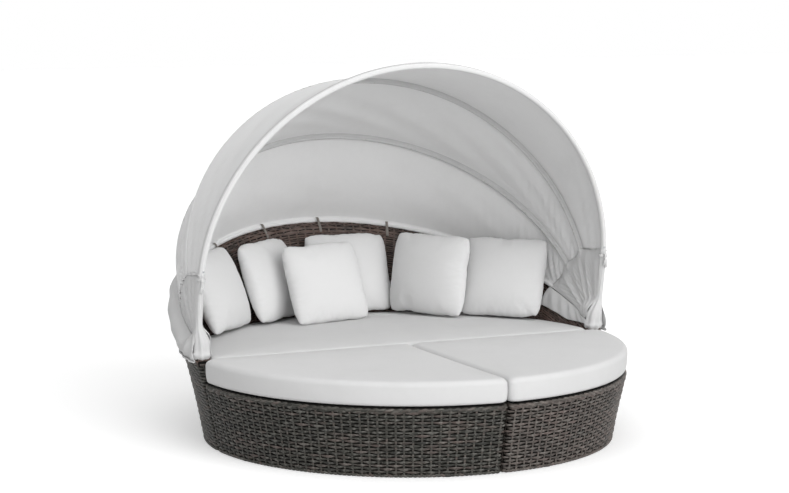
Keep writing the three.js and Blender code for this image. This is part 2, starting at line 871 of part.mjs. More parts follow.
// Faceted hoops lie inside the true curve by this much at the middle of a facet.
const facetDip = frontBowReach * (1 - Math.cos(Math.PI / 2 / bowSteps));
const clothLift = bowTubeRadius + touchGap + facetDip;

// One gore of the canopy: a sheet drawn over two bows, hollowed a little between them.
// It runs flat over each tube before the hollow begins.
function canopyGore(front, back, frontShift, backShift) {
  const bed = bowTubeRadius + facetDip;
  const rowPlaces = [{ bow: front, shift: frontShift, share: 0 }];
  rowPlaces.push({ bow: front, shift: -bed, share: 0 });
  for (let r = 1; r < goreRows; r += 1) {
    rowPlaces.push({ bow: null, shift: 0, share: r / goreRows });
  }
  rowPlaces.push({ bow: back, shift: bed, share: 1 });
  rowPlaces.push({ bow: back, shift: backShift, share: 1 });
  const side = (lift) => rowPlaces.map(({ bow, shift, share }) => {
    const row = [];
    for (let i = 0; i <= goreSteps; i += 1) {
      const at = i / goreSteps;
      if (bow) {
        row.push(overBow(bow, hemAngle(bow, at, lift), lift, shift));
      } else {
        const a = overBow(front, hemAngle(front, at, lift), lift, -bed);
        const b = overBow(back, hemAngle(back, at, lift), lift, bed);
        row.push(hollowed(a.lerp(b, share), share, at));
      }
    }
    return row;
  });
  return thickSheet(side(clothLift + clothThickness), side(clothLift));
}

// A point of a gore, drawn in towards the pivot line; nothing moves at the hem.
function hollowed(point, share, at) {
  const inward = new THREE.Vector3(0, pivotY, pivotZ).sub(point).setX(-point.x).normalize();
  const sag = goreSag * Math.sin(Math.PI * share) * Math.sin(Math.PI * at);
  return point.addScaledVector(inward, sag);
}

// The hem meets each bow at the same distance from the pivot, at any lift off the tube.
function hemAngle(bow, at, lift) {
  const start = Math.asin((hemReach - bow.leg) / (bow.reach - bow.leg + lift));
  return start + (Math.PI - 2 * start) * at;
}

// Side skirts: strips between the legs of neighbouring bows, gathered into soft folds.
const skirtInner = 74;
const skirtSteps = 12;
const skirtRows = 6;
const foldDepth = 7;
const foldsPerStrip = 2;

function skirtPoint(bow, along, out) {
  const share = Math.max(along - bow.leg, 0) / (bow.reach - bow.leg + out);
  return (bow.halfWidth + out) * Math.sqrt(1 - share * share);
}

function skirtStrip(front, back, frontShift, backShift) {
  const face = (depth) => {
    const rows = [];
    for (let r = 0; r <= skirtRows; r += 1) {
      const down = r / skirtRows;
      const taper = Math.sin(Math.PI * (r + 1) / (skirtRows + 2));
      const row = [];
      for (let i = 0; i <= skirtSteps; i += 1) {
        const share = i / skirtSteps;
        const fold = foldDepth * taper * Math.sin(Math.PI * foldsPerStrip * share) ** 2;
        row.push(skirtSpot(front, back, frontShift, backShift, share, down, depth, fold));
      }
      rows.push(row);
    }
    return rows;
  };
  return thickSheet(face(clothThickness), face(0));
}

// A spot of the skirt: its share of the way between the legs, and of the way down from
// the hem's straight edge to the inner arc, standing out by the fold.
function skirtSpot(front, back, frontShift, backShift, share, down, depth, fold) {
  const hem = hemReach - touchGap;
  const a = pivotFrame(front.angle, 0, hem, frontShift);
  const b = pivotFrame(back.angle, 0, hem, backShift);
  const chord = a.clone().lerp(b, share);
  const turnA = Math.atan2(a.z - pivotZ, a.y - pivotY);
  const turnB = Math.atan2(b.z - pivotZ, b.y - pivotY);
  const arcTurn = turnA + (turnB - turnA) * share;
  const arc = new THREE.Vector3(
    0,
    pivotY + skirtInner * Math.cos(arcTurn),
    pivotZ + skirtInner * Math.sin(arcTurn),
  );
  const point = chord.lerp(arc, down);
  const along = Math.hypot(point.y - pivotY, point.z - pivotZ);
  const lift = clothLift + depth;
  const xFront = skirtPoint(front, along, lift);
  const xBack = skirtPoint(back, along, lift);
  return point.setX(xFront + (xBack - xFront) * share + fold);
}

// The boot hides the bracket: from the skirt's inner arc to the rim's edge, and down over it.
const bootDrop = 16;
const bootFrontY = 1;
const bootBackY = 112;
const bootClearance = 5;
const bootSteps = 10;
const bootRows = 5;
const bootFoldShare = 1 / 7;

function pivotBoot() {
  const headFace = pivotX + bracketHalfWidth + touchGap + boltHeadHeight;
  const reach = skirtInner - seamHalfGap * 2;
  const overRim = (share, drop, depth) => {
    const y = bootFrontY + (bootBackY - bootFrontY) * share;
    const z = rimHeight(y) - drop;
    const radius = shellRadius(z) + capOverhang + touchGap + depth;
    return new THREE.Vector3(Math.sqrt(radius ** 2 - y ** 2), y, z);
  };
  const hanging = (share, down, depth) => {
    const turn = degrees(frontBowAngle + (rearBowAngle - frontBowAngle) * share);
    const top = new THREE.Vector3(
      headFace + bootClearance + depth,
      pivotY + reach * Math.cos(turn),
      pivotZ + reach * Math.sin(turn),
    );
    const point = top.lerp(overRim(share, capChamfer, depth), down);
    const fold = foldDepth / 2 * Math.sin(Math.PI * foldsPerStrip * share) ** 2;
    const swell = fold * Math.sin(Math.PI * (bootFoldShare + (1 - bootFoldShare) * down));
    point.x += swell + bootClearance * Math.sin(Math.PI * down);
    return point;
  };
  const face = (depth) => {
    const rows = [];
    for (let r = 0; r <= bootRows + 1; r += 1) {
      const row = [];
      for (let i = 0; i <= bootSteps; i += 1) {
        const share = i / bootSteps;
        const draped = r > bootRows;
        row.push(draped ? overRim(share, bootDrop, depth) : hanging(share, r / bootRows, depth));
      }
      rows.push(row);
    }
    return rows;
  };
  return thickSheet(face(clothThickness), face(0));
}

// Straps that hold the rear bow down on the rim.
const strapWidth = 12;
const strapThickness = 1.6;
const strapAngles = [70, 88, 104, 122];
const strapArcSteps = 4;
const strapHookAngle = 78;

// The rim's straight lengths lie this far inside its true curve.
const rimDip = touchGap + backRadius * (1 - Math.cos(Math.PI / 2 / halfSteps));

// Each strap hooks over the bow and comes down to the rim's inner edge.
function rimStrap(angle) {
  const turn = degrees(angle);
  const rim = underRim(turn, wallThickness / 2, 0);
  const crossing = rearBowCrossing(turn);
  const drift = Math.hypot(crossing.x, crossing.y) - Math.hypot(rim.x, rim.y);
  const rise = crossing.z - rim.z;
  const rimRadius = Math.hypot(rim.x, rim.y);
  const beside = (offset, drop) => {
    const p = underRim(turn, wallThickness + capOverhang + rimDip + offset, drop);
    return new THREE.Vector2(Math.hypot(p.x, p.y) - rimRadius, p.z - rim.z);
  };
  const face = (offset) => {
    const hoop = clothLift + offset;
    const edge = beside(offset, capChamfer);
    const away = edge.clone().sub(new THREE.Vector2(drift, rise));
    const leave = away.angle() - Math.acos(hoop / away.length());
    return [
      ...arcPoints(drift, rise, hoop, degrees(strapHookAngle), leave, strapArcSteps),
      edge,
      beside(offset, capHeight),
    ];
  };
  const shape = new THREE.Shape([...face(strapThickness), ...face(0).reverse()]);
  const strap = new THREE.ExtrudeGeometry(shape, { depth: strapWidth, bevelEnabled: false });
  return strap.translate(0, 0, -strapWidth / 2).rotateX(Math.PI / 2)
    .rotateZ(turn).translate(rim.x, rim.y, rim.z);
}

// Where the rear bow crosses the upright plane that stands at this angle.
const crossingTrials = 720;

function rearBowCrossing(turn) {
  const bow = bows[3];
  let best = null;
  for (let i = 0; i <= crossingTrials; i += 1) {
    const p = overBow(bow, Math.PI * i / crossingTrials, 0);
    const miss = Math.abs(Math.atan2(p.y, p.x) - turn);
    if (!best || miss < best.miss) {
      best = { miss, p };
    }
  }
  return best.p;
}

// A loose pillow, square as sewn and slumped a little as it stands: full in the middle,
// thin at its seam, its edges drawn in between the corners.
const pillowCells = 8;
const pillowSeamHalf = 4;
const pillowDrawInShare = 0.06;
const pillowFullness = 0.42;

function pillowGeometry() {
  const half = new THREE.Vector2(pillowWidth, pillowHeight).multiplyScalar(0.5);
  const spot = (i) => Math.sin(Math.PI * (i / pillowCells - 0.5));
  const face = (sign) => {
    const rows = [];
    for (let r = 0; r <= pillowCells; r += 1) {
      const v = spot(r);
      const row = [];
      for (let i = 0; i <= pillowCells; i += 1) {
        const u = spot(i);
        const x = half.x * u * (1 - pillowDrawInShare * (1 - v * v));
        const z = half.y * v * (1 - pillowDrawInShare * (1 - u * u));
        const full = ((1 - u * u) * (1 - v * v)) ** pillowFullness;
        const y = sign * (pillowSeamHalf + (pillowDepth / 2 - pillowSeamHalf) * full);
        row.push(new THREE.Vector3(x, y, z));
      }
      rows.push(row);
    }
    return rows;
  };
  return thickSheet(face(-1), face(1));
}

// Each pillow stands on the seat: where its foot is, how it is turned and leant.
const pillowPlaces = [
  { name: 'pillow_1', round: 136, turn: -1, lean: 22 },
  { name: 'pillow_2', round: 111, turn: 17, lean: 20 },
  { name: 'pillow_4', round: 83, turn: 2, lean: 20 },
  { name: 'pillow_6', round: 33, turn: 11, lean: 22 },
  { name: 'pillow_5', round: 57, turn: -25, lean: 13 },
  { name: 'pillow_3', round: 99, turn: 25, lean: 30 },
];
const pillowStartShare = 0.42;

function placePillow({ name, round, turn, lean }, behind, below) {
  const spot = degrees(round);
  const out = new THREE.Vector3(Math.cos(spot), Math.sin(spot), 0);
  const mesh = place(name, pillowGeometry(), materials.cushionCloth);
  mesh.rotation.order = 'ZXY';
  mesh.rotation.set(-degrees(lean), 0, spot - Math.PI / 2 + degrees(turn));
  mesh.position.copy(out).multiplyScalar(pillowStartShare * shellRadius(seatHeight));
  mesh.position.z = seatHeight + cushionThickness + pillowHeight;
  settle(mesh, new THREE.Vector3(0, 0, -1), below);
  settle(mesh, out, behind);
  return mesh;
}

// Moves a pillow along a direction until it all but touches what lies there: equal steps
// up to the first meeting, then ever smaller ones.
const settleStep = 16;
const settleFine = touchGap / 2;

function solidInPlace(mesh) {
  mesh.updateMatrix();
  return toSolid(mesh.geometry.clone().applyMatrix4(mesh.matrix));
}

function settle(mesh, direction, solids) {
  const pillow = solidInPlace(mesh);
  const clear = (run) => {
    const moved = pillow.translate(direction.clone().multiplyScalar(run).toArray());
    return solids.every((solid) => solid.intersect(moved).volume() === 0);
  };
  let run = 0;
  for (let step = settleStep; step > settleFine; step /= 2) {
    while (clear(run + step)) {
      run += step;
    }
  }
  mesh.position.addScaledVector(direction, run - touchGap);
}

// The assembly

place('sofa_outer_weave', sofaOuterWeave(), materials.wicker);
place('sofa_inner_weave', sofaInnerWeave(), materials.wicker);
place('sofa_front_weave', sofaFrontWeave(), materials.wicker);
place('sofa_rim_braid', sofaRimBraid(), materials.wicker);
place('sofa_frame', sofaFrame(), materials.steel);
place('sofa_deck', sofaDeck(), materials.wicker);
const seat = place('seat_cushion', seatCushion(), materials.cushionCloth);

const sofaFeet = sofaFootAngles.map((angle) => {
  const radius = shellRadius(footHeight) - wallThickness / 2;
  return [radius * Math.cos(degrees(angle)), radius * Math.sin(degrees(angle))];
});
sofaFeet.push([0, halfGap + wallTubeInset + frameTube / 2]);
sofaFeet.forEach(([x, y], i) => {
  place(`sofa_foot_${i + 1}`, foot(), materials.plastic).position.set(x, y, 0);
});

const ottomanFeet = ottomanFootAngles.map((angle) => {
  const radius = shellRadius(footHeight) - ottomanTubeMiddle;
  return [radius * Math.cos(degrees(angle)), radius * Math.sin(degrees(angle))];
});
const nearFoot = halfGap + tubeInset + footRadius;
ottomanFeet.push([nearFoot, -nearFoot]);

for (const [side, turned] of [['right', (g) => g], ['left', mirrored]]) {
  place(`ottoman_${side}_weave`, turned(lippedWall(quarterOutline)), materials.wicker);
  place(`ottoman_${side}_frame`, turned(ottomanFrame()), materials.steel);
  place(`ottoman_${side}_deck`, turned(ottomanDeck()), materials.wicker);
  place(`ottoman_${side}_cushion`, turned(ottomanCushion()), materials.cushionCloth);
  const sign = side === 'right' ? 1 : -1;
  ottomanFeet.forEach(([x, y], i) => {
    place(`ottoman_${side}_foot_${i + 1}`, foot(), materials.plastic).position.set(sign * x, y, 0);
  });
}

function toIndexed(geometry) {
  return fromSolid(toSolid(geometry));
}

bows.forEach(bowMesh);

for (const side of [1, -1]) {
  const word = side > 0 ? 'right' : 'left';
  const bracket = place(`${word}_pivot_bracket`, pivotBracket(), materials.steel);
  bracket.position.set(side * pivotX, seatPoint.y, seatPoint.z);
  bracket.rotation.x = rimTilt;
  const bolt = place(`${word}_pivot_bolt`, pivotBolt(), materials.zinc);
  const nut = place(`${word}_pivot_nut`, pivotNut(), materials.zinc);
  for (const piece of [bolt, nut]) {
    piece.position.set(side * pivotX, pivotY, pivotZ);
    piece.rotation.z = side > 0 ? 0 : Math.PI;
  }
}

const goreNames = ['front', 'middle', 'rear'];
goreNames.forEach((name, i) => {
  const frontShift = i === 0 ? frontOverhang : -seamHalfGap;
  const backShift = i === 2 ? rearSetback : seamHalfGap;
  const gore = canopyGore(bows[i], bows[i + 1], frontShift, backShift);
  place(`canopy_gore_${name}`, gore, materials.canopyCloth);
  const strip = skirtStrip(bows[i], bows[i + 1], frontShift, backShift);
  place(`right_skirt_${name}`, strip, materials.canopyCloth);
  place(`left_skirt_${name}`, mirrored(strip), materials.canopyCloth);
});
place('right_boot', pivotBoot(), materials.canopyCloth);
place('left_boot', mirrored(pivotBoot()), materials.canopyCloth);

strapAngles.forEach((angle, i) => {
  place(`rim_strap_${i + 1}`, toIndexed(rimStrap(angle)), materials.canopyCloth);
});

const behindPillows = ['sofa_inner_weave', 'sofa_rim_braid', 'bow_back', 'bow_rear',
  'canopy_gore_middle', 'canopy_gore_rear', 'left_skirt_rear', 'right_skirt_rear'];
const obstacles = behindPillows.map((name) => solidInPlace(daybed.getObjectByName(name)));
for (const spot of pillowPlaces) {
  const pillow = placePillow(spot, obstacles, [solidInPlace(seat)]);
  obstacles.push(solidInPlace(pillow));
}

// The origin is on the floor, under the middle of the whole daybed.
daybed.updateMatrixWorld(true);
const extent = new THREE.Box3().setFromObject(daybed, true);
const middle = extent.getCenter(new THREE.Vector3());
daybed.position.set(-middle.x, -middle.y, -extent.min.z);
daybed.updateMatrixWorld(true);

export default daybed;
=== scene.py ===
"""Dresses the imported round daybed: woven walls, cushions, loose pillows and the bow canopy."""

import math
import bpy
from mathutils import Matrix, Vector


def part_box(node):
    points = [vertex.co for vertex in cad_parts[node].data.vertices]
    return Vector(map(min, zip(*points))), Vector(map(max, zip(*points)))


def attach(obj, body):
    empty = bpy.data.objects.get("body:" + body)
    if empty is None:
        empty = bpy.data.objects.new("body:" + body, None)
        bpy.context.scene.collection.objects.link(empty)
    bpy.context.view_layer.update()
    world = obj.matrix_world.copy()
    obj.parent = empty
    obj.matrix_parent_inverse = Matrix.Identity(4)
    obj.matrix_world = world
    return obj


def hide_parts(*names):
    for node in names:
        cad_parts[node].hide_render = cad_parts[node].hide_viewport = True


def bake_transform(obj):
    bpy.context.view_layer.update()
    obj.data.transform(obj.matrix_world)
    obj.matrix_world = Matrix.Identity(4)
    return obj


bl_info = {
    "name": "Round Daybed with Canopy",
    "version": (1, 0, 0),
    "blender": (4, 5, 0),
    "location": "3D View > Sidebar > Daybed",
    "description": "Woven walls, cushions, pillows and a folding bow canopy on a fixed frame",
    "category": "Object",
}

import bmesh
import bpy
import numpy as np
from bpy.props import FloatProperty, FloatVectorProperty, IntProperty, PointerProperty
from mathutils import Vector

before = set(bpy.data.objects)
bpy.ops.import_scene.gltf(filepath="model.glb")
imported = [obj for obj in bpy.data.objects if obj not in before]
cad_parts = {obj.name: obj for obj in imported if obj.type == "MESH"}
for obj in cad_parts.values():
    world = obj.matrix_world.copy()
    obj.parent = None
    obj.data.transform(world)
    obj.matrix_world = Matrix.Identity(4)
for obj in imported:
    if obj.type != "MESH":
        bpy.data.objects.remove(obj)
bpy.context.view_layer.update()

# The woven wall, as the frame has it: metres, +Z up, the plan centre on CENTRE_Y
HALF_GAP = 0.0004
WALL = 0.056
ARM_HEIGHT, BACK_HEIGHT = 0.380, 0.814
SEAT = 0.296
HEM = 0.014
CORNER = 0.016
CAP_HEIGHT = 0.018
CENTRE_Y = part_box("sofa_front_weave")[0].y - HALF_GAP

# Cushions: underside, height, crown and corner, the spacing of points round them, how far the
# top edge stays under its full height, and the seat cushion's room beside the wall and widest radius
CUSHION_LOW = SEAT + 0.0003
CUSHION_TALL = 0.100
CROWN = 0.013
CUSHION_CORNER = 0.026
CUSHION_STEP = 0.012
ROLL_ROOM = 0.0004
SEAT_ROOM, SEAT_WIDEST = 0.006, 0.9004

# Pillows: width and height, how deep they sink into the seat, how much smaller than its solid each
# is, the half depth at its seam, and the steps in which it is filled
PILLOW_WIDE, PILLOW_TALL = 0.412, 0.386
PILLOW_SINK = 0.008
PILLOW_SLACK, PILLOW_EDGE = 0.0012, 0.0045
FILL_STEPS = 42

# Where each pillow stands round the seat, how it is turned and leant, how much more the soft form
# is turned, leant and moved forward, and whether it is flipped sideways and top to bottom
PILLOWS = {
    "pillow_1": (136, -1, 22, (0, 0, 0.005), (1, 1)),
    "pillow_2": (111, 17, 20, (0, 0, 0.0055), (-1, -1)),
    "pillow_3": (99, 25, 30, (-22, -7, 0.022), (1, -1)),
    "pillow_4": (83, 2, 20, (0, 0, 0.0065), (-1, -1)),
    "pillow_5": (57, -25, 13, (0, 0, 0), (1, 1)),
    "pillow_6": (33, 11, 22, (0, 0, 0), (-1, 1)),
}

# The canopy: each bow's angle from +Y, its reach from the pivots, its straight leg, its place in
# the stack of lugs on the pivot in steps of the bow pitch, and the body it rides on
PIVOT = Vector((0.93365, -0.05048, 0.43040))
BOW_PITCH = 0.011
BOWS = {
    "bow_front": (98.9, 1.172, 0.260, 1.5, "bow_front"),
    "bow_middle": (66.6, 1.158, 0.260, 0.5, "bow_middle"),
    "bow_back": (43.3, 1.149, 0.260, -0.5, "bow_back"),
    "bow_rear": (20.06, 1.1111, 0.100, -1.5, "sofa"),
}
BOW_ORDER = list(BOWS)

# The tubes' radius, how far the cloth lies over their middle line, and where the canopy's hem and
# the skirts' inner ends are, from the pivots
TUBE = 0.008
CLOTH_LIFT = 0.0104
HEM_REACH = 0.320
SKIRT_INNER = 0.074

# The gores and skirt strips: the bows that each is held by, and shares of the way between them that are
# worked out but not used
GORES = (
    ("front", "bow_front", "bow_middle"),
    ("middle", "bow_middle", "bow_back"),
    ("rear", "bow_back", "bow_rear"),
)
FRONT_ANGLE, REAR_ANGLE = BOWS["bow_front"][0], BOWS["bow_rear"][0]
BLEND_FROM, BLEND_TO = 0.06, 0.94

# The length over a bow along which gathers are spaced, the sides of a round piping, and how far
# from the pivots an inner cloth starts to clear the bracket, and over what length
ARCH = 3.2
TUBE_SIDES = 8
BRACKET_END, BRACKET_EASE = 0.105, 0.060

# One turn, for random starts; the distance under which points are one; the fullest declared cut
ROUND = 6.28
SAME_POINT = 1e-6
FULL_CUT = 0.999


def shade(red, green, blue):
    """A colour as it shows on screen, 0 to 255, in the linear values that materials take."""
    return tuple(
        (c / 255 / 12.92) if c <= 10 else ((c / 255 + 0.055) / 1.055) ** 2.4
        for c in (red, green, blue)
    )


# Settings


class DaybedWeave(bpy.types.PropertyGroup):
    row_pitch: FloatProperty(
        name="Row pitch", description="Height from one woven row to the next",
        default=0.0138, min=0.006, max=0.03, unit="LENGTH", precision=4)
    stake_pitch: FloatProperty(
        name="Stake pitch", description="Distance from one upright stake to the next",
        default=0.036, min=0.015, max=0.08, unit="LENGTH", precision=4)
    swing: FloatProperty(
        name="Strand swing", description="How far a strand moves in and out as it passes the stakes",
        default=0.0038, min=0.0005, max=0.006, unit="LENGTH", precision=4)
    # Painted shade: the sofa's and the left ottoman's strands are a darker copy of the one strand colour,
    # standing in for the shade on that side
    shaded_strand_colour: FloatVectorProperty(
        name="Dark strands", description="Colour of the strands on the sofa and the left ottoman",
        default=shade(53, 53, 47), size=3, min=0, max=1, subtype="COLOR")
    # Painted light: the right ottoman's strands are a lighter copy of the same strand colour, standing in
    # for the light on that side
    lit_strand_colour: FloatVectorProperty(
        name="Light strands", description="Colour of the strands on the right ottoman",
        default=shade(93, 85, 80), size=3, min=0, max=1, subtype="COLOR")
    warm_colour: FloatVectorProperty(
        name="Warm strands", description="Colour of the warmer strands mixed into the outside walls",
        default=shade(94, 80, 76), size=3, min=0, max=1, subtype="COLOR")
    inner_colour: FloatVectorProperty(
        name="Inner strands", description="Colour of the strands that face the seat",
        default=shade(108, 92, 86), size=3, min=0, max=1, subtype="COLOR")
    # Painted shade: a near-black colour for the sheets behind the strands, standing in for the shadow seen
    # between them
    shadow_colour: FloatVectorProperty(
        name="Behind the weave", description="Colour of the dark inside seen between strands",
        default=shade(17, 15, 13), size=3, min=0, max=1, subtype="COLOR")


class DaybedCushions(bpy.types.PropertyGroup):
    colour: FloatVectorProperty(
        name="Cloth", description="Colour of the cushion cloth",
        default=shade(208, 208, 208), size=3, min=0, max=1, subtype="COLOR")
    pucker: FloatProperty(
        name="Seam pucker", description="Depth of the small gathers beside a seam",
        default=0.0009, min=0, max=0.005, unit="LENGTH", precision=4)
    pillow_colour: FloatVectorProperty(
        name="Pillow cloth", description="Colour of the loose pillows",
        default=shade(218, 218, 218), size=3, min=0, max=1, subtype="COLOR")
    looseness: FloatProperty(
        name="Pillow looseness", description="How much of the filled cloth's creasing a pillow keeps",
        default=0.20, min=0, max=1, subtype="FACTOR")
    plumpness: FloatProperty(
        name="Pillow pressure", description="Filling pressure in the pillow simulation",
        default=5.0, min=1, max=15)


class DaybedCanopy(bpy.types.PropertyGroup):
    colour: FloatVectorProperty(
        name="Canopy cloth", description="Colour of the canopy",
        default=shade(232, 232, 232), size=3, min=0, max=1, subtype="COLOR")
    cloth_thickness: FloatProperty(
        name="Cloth thickness", description="Thickness of the canopy cloth",
        default=0.0012, min=0.0005, max=0.004, unit="LENGTH", precision=4)
    sag: FloatProperty(
        name="Sag", description="How far the cloth hollows between two bows",
        default=0.016, min=0, max=0.05, unit="LENGTH", precision=3)
    gathers: IntProperty(
        name="Gathers", description="Gathered folds in each strip of the side skirts",
        default=4, min=1, max=12)
    gather_depth: FloatProperty(
        name="Gather depth", description="How far the skirt folds stand out",
        default=0.013, min=0, max=0.03, unit="LENGTH", precision=3)


class DaybedStage(bpy.types.PropertyGroup):
    azimuth: FloatProperty(
        name="Azimuth", description="Where the camera stands round the daybed",
        default=math.radians(-25.18), subtype="ANGLE")
    elevation: FloatProperty(
        name="Elevation", description="How far the camera looks down",
        default=math.radians(7.17), subtype="ANGLE")
    distance: FloatProperty(
        name="Distance", description="From the camera to the point it looks at",
        default=10.1285, min=1, unit="LENGTH")
    lens: FloatProperty(
        name="Lens", description="Focal length on a sensor 36 mm wide",
        default=108.32, min=10, max=400)
    key: FloatProperty(
        name="Key light", description="Strength of the soft light from the front right",
        default=0.80, min=0, max=10)
    front: FloatProperty(
        name="Front light", description="Strength of the wide, low light from the front",
        default=2.13, min=0, max=10)
    top: FloatProperty(
        name="Top light", description="Strength of the soft light from above",
        default=1.34, min=0, max=10)
    world: FloatProperty(
        name="Surrounding light", description="Strength of the plain light from all sides",
        default=0.27, min=0, max=5)


# Mesh making


class Patches:
    """Grids of points gathered into one mesh, with UVs in metres."""

    def __init__(self):
        self.points, self.quads, self.uvs, self.count = [], [], [], 0

    def add(self, points, uv, close_columns=False, close_rows=False, outward=None):
        rows, columns = points.shape[:2]
        index = np.arange(rows * columns).reshape(rows, columns)
        if close_columns:
            index = np.hstack([index, index[:, :1]])
        if close_rows:
            index = np.vstack([index, index[:1]])
        uv = uv[: index.shape[0], : index.shape[1]]
        quads = corners(index).reshape(-1, 4)
        loops = corners(uv).reshape(-1, 4, 2)
        flat = points.reshape(-1, 3)
        if outward is not None:
            a, b, c = flat[quads[:, 0]], flat[quads[:, 1]], flat[quads[:, 3]]
            way = outward.reshape(-1, 3)[quads[:, 0]]
            if (np.cross(b - a, c - a) * way).sum() < 0:
                quads, loops = quads[:, ::-1], loops[:, ::-1]
        self.points.append(flat)
        self.quads.append(quads + self.count)
        self.uvs.append(loops)
        self.count += len(flat)

    def build(self, name, material, closed=False):
        points = np.concatenate(self.points)
        quads = np.concatenate(self.quads)
        uvs = np.concatenate(self.uvs)
        if closed:
            a, b, c, d = (points[quads[:, i]] for i in range(4))
            volume = (np.cross(a, b) * c).sum() + (np.cross(a, c) * d).sum()
            if volume < 0:
                quads, uvs = quads[:, ::-1], uvs[:, ::-1]
        piece = mesh_piece(name, points, quads, uvs, material)
        if closed:
            join_doubles(piece.data)
        piece.data.shade_smooth()
        return piece


def corners(grid):
    """The four corners of each cell of a grid, in order round the cell."""
    return np.stack([grid[:-1, :-1], grid[:-1, 1:], grid[1:, 1:], grid[1:, :-1]], 2)


def mesh_piece(name, points, quads, uvs, material):
    """A shown piece from its points, its faces and the UVs of their corners."""
    mesh = bpy.data.meshes.new(name)
    mesh.from_pydata(points, [], quads.tolist())
    layer = mesh.uv_layers.new(name="Metres")
    layer.data.foreach_set("uv", uvs.astype(np.float32).ravel())
    mesh.materials.append(material)
    piece = bpy.data.objects.new(name, mesh)
    bpy.context.scene.collection.objects.link(piece)
    return piece


def join_doubles(mesh):
    """Welds the points that lie on each other where a form closes."""
    form = bmesh.new()
    form.from_mesh(mesh)
    bmesh.ops.remove_doubles(form, verts=form.verts, dist=SAME_POINT)
    form.to_mesh(mesh)
    form.free()


def plain_uv(along, across):
    """UVs in metres from the lengths along the rows and across the columns."""
    u, v = np.meshgrid(along, across)
    return np.stack([u, v], -1)


def lengths(points):
    """Distances along a line of points, from its start."""
    steps = np.linalg.norm(np.diff(points, axis=0), axis=1)
    return np.concatenate([[0], np.cumsum(steps)])


def grid_normals(grid):
    """Unit normals of a grid of points."""
    down = np.gradient(grid, axis=0)
    over = np.gradient(grid, axis=1)
    normal = np.cross(over, down)
    return normal / np.maximum(np.linalg.norm(normal, axis=2, keepdims=True), 1e-12)


def thick_cloth(patches, grid, thickness, outward):
    """A sheet with two faces and a rim, from a grid of points on its middle."""
    normal = grid_normals(grid)
    if (normal * outward).sum() < 0:
        normal = -normal
    front = grid + normal * thickness / 2
    back = grid - normal * thickness / 2
    loop = np.concatenate([front, back[:, ::-1]], axis=1)
    across = lengths(grid[grid.shape[0] // 2])
    along = lengths(grid[:, grid.shape[1] // 2])
    turn = np.concatenate([across, across[-1] + thickness + across, [2 * across[-1] + 2 * thickness]])
    rows = np.concatenate([loop[:1], loop, loop[-1:]])
    middle = (front + back) / 2
    for end in (0, -1):
        rows[end] = np.concatenate([middle[end], middle[end][::-1]])
    patches.add(rows, plain_uv(turn, np.concatenate([[along[0]], along, [along[-1]]])), close_columns=True)


def cloth_piece(name, grid, thickness, outward, material):
    """One sheet of cloth as a piece of its own."""
    patches = Patches()
    thick_cloth(patches, grid, thickness, outward)
    return patches.build(name, material, closed=True)


def sideways(grid, way):
    """Directions straight to one side of the daybed, for each point of a grid."""
    outward = np.zeros_like(grid)
    outward[..., 0] = way
    return outward


def ease(share):
    """A share from 0 to 1 with a soft start and a soft end."""
    return share * share * (3 - 2 * share)


def cut_of(grid):
    """Works out a sheet's flat size and area from its own grid of cloth, and keeps neither. The flat size
    is rounded, so the area of a plain strip is kept just inside it."""
    a, b, c, d = grid[:-1, :-1], grid[:-1, 1:], grid[1:, 1:], grid[1:, :-1]
    area = np.linalg.norm(np.cross(b - a, c - a), axis=2).sum() / 2
    area += np.linalg.norm(np.cross(c - a, d - a), axis=2).sum() / 2
    wide = round(max(lengths(row)[-1] for row in grid), 4)
    long = round(max(lengths(grid[:, i])[-1] for i in range(grid.shape[1])), 4)
    area = min(area, FULL_CUT * wide * long)


def ripple(at, pitch, seed, spread=0.35):
    """A wavering run of gathers: a sine whose spacing and height drift."""
    made = np.random.default_rng(seed)
    slow = sum(
        made.normal(0, 1) * np.sin(2 * np.pi * at / (pitch * k) + made.uniform(0, ROUND))
        for k in (3.1, 5.7, 9.3))
    height = 0.75 + 0.25 * np.sin(2 * np.pi * at / (pitch * 4.3) + made.uniform(0, ROUND))
    return height * np.sin(2 * np.pi * at / pitch + spread * 3 * slow)


# Shader groups


class Nodes:
    """Short calls for placing and joining nodes in one tree."""

    def __init__(self, tree):
        self.tree = tree

    def put(self, kind, **settings):
        node = self.tree.nodes.new(kind)
        for key, value in settings.items():
            if key == "inputs":
                for socket, given in value.items():
                    self.feed(node.inputs[socket], given)
            else:
                setattr(node, key, value)
        return node

    def feed(self, socket, given):
        if isinstance(given, bpy.types.NodeSocket):
            self.tree.links.new(given, socket)
        else:
            socket.default_value = given

    def math(self, operation, a, b=0.0, c=0.0, clamp=False):
        node = self.put("ShaderNodeMath", operation=operation, use_clamp=clamp)
        for socket, given in zip(node.inputs, (a, b, c)):
            self.feed(socket, given)
        return node.outputs[0]

    def mix(self, share, a, b, blend="MIX"):
        node = self.put("ShaderNodeMix", data_type="RGBA", blend_type=blend)
        self.feed(node.inputs[0], share)
        self.feed(node.inputs[6], a)
        self.feed(node.inputs[7], b)
        return node.outputs[2]

    def span(self, value, low, high, to_low=0.0, to_high=1.0):
        node = self.put("ShaderNodeMapRange", inputs={0: value, 1: low, 2: high, 3: to_low, 4: to_high})
        return node.outputs[0]

    def noise(self, vector, scale, detail=2.0, roughness=0.5):
        node = self.put("ShaderNodeTexNoise", inputs={
            "Vector": vector, "Scale": scale, "Detail": detail, "Roughness": roughness})
        return node.outputs["Fac"]


def cleared(owner):
    """The emptied nodes of a material or a world."""
    owner.use_nodes = True
    owner.node_tree.nodes.clear()
    return Nodes(owner.node_tree)


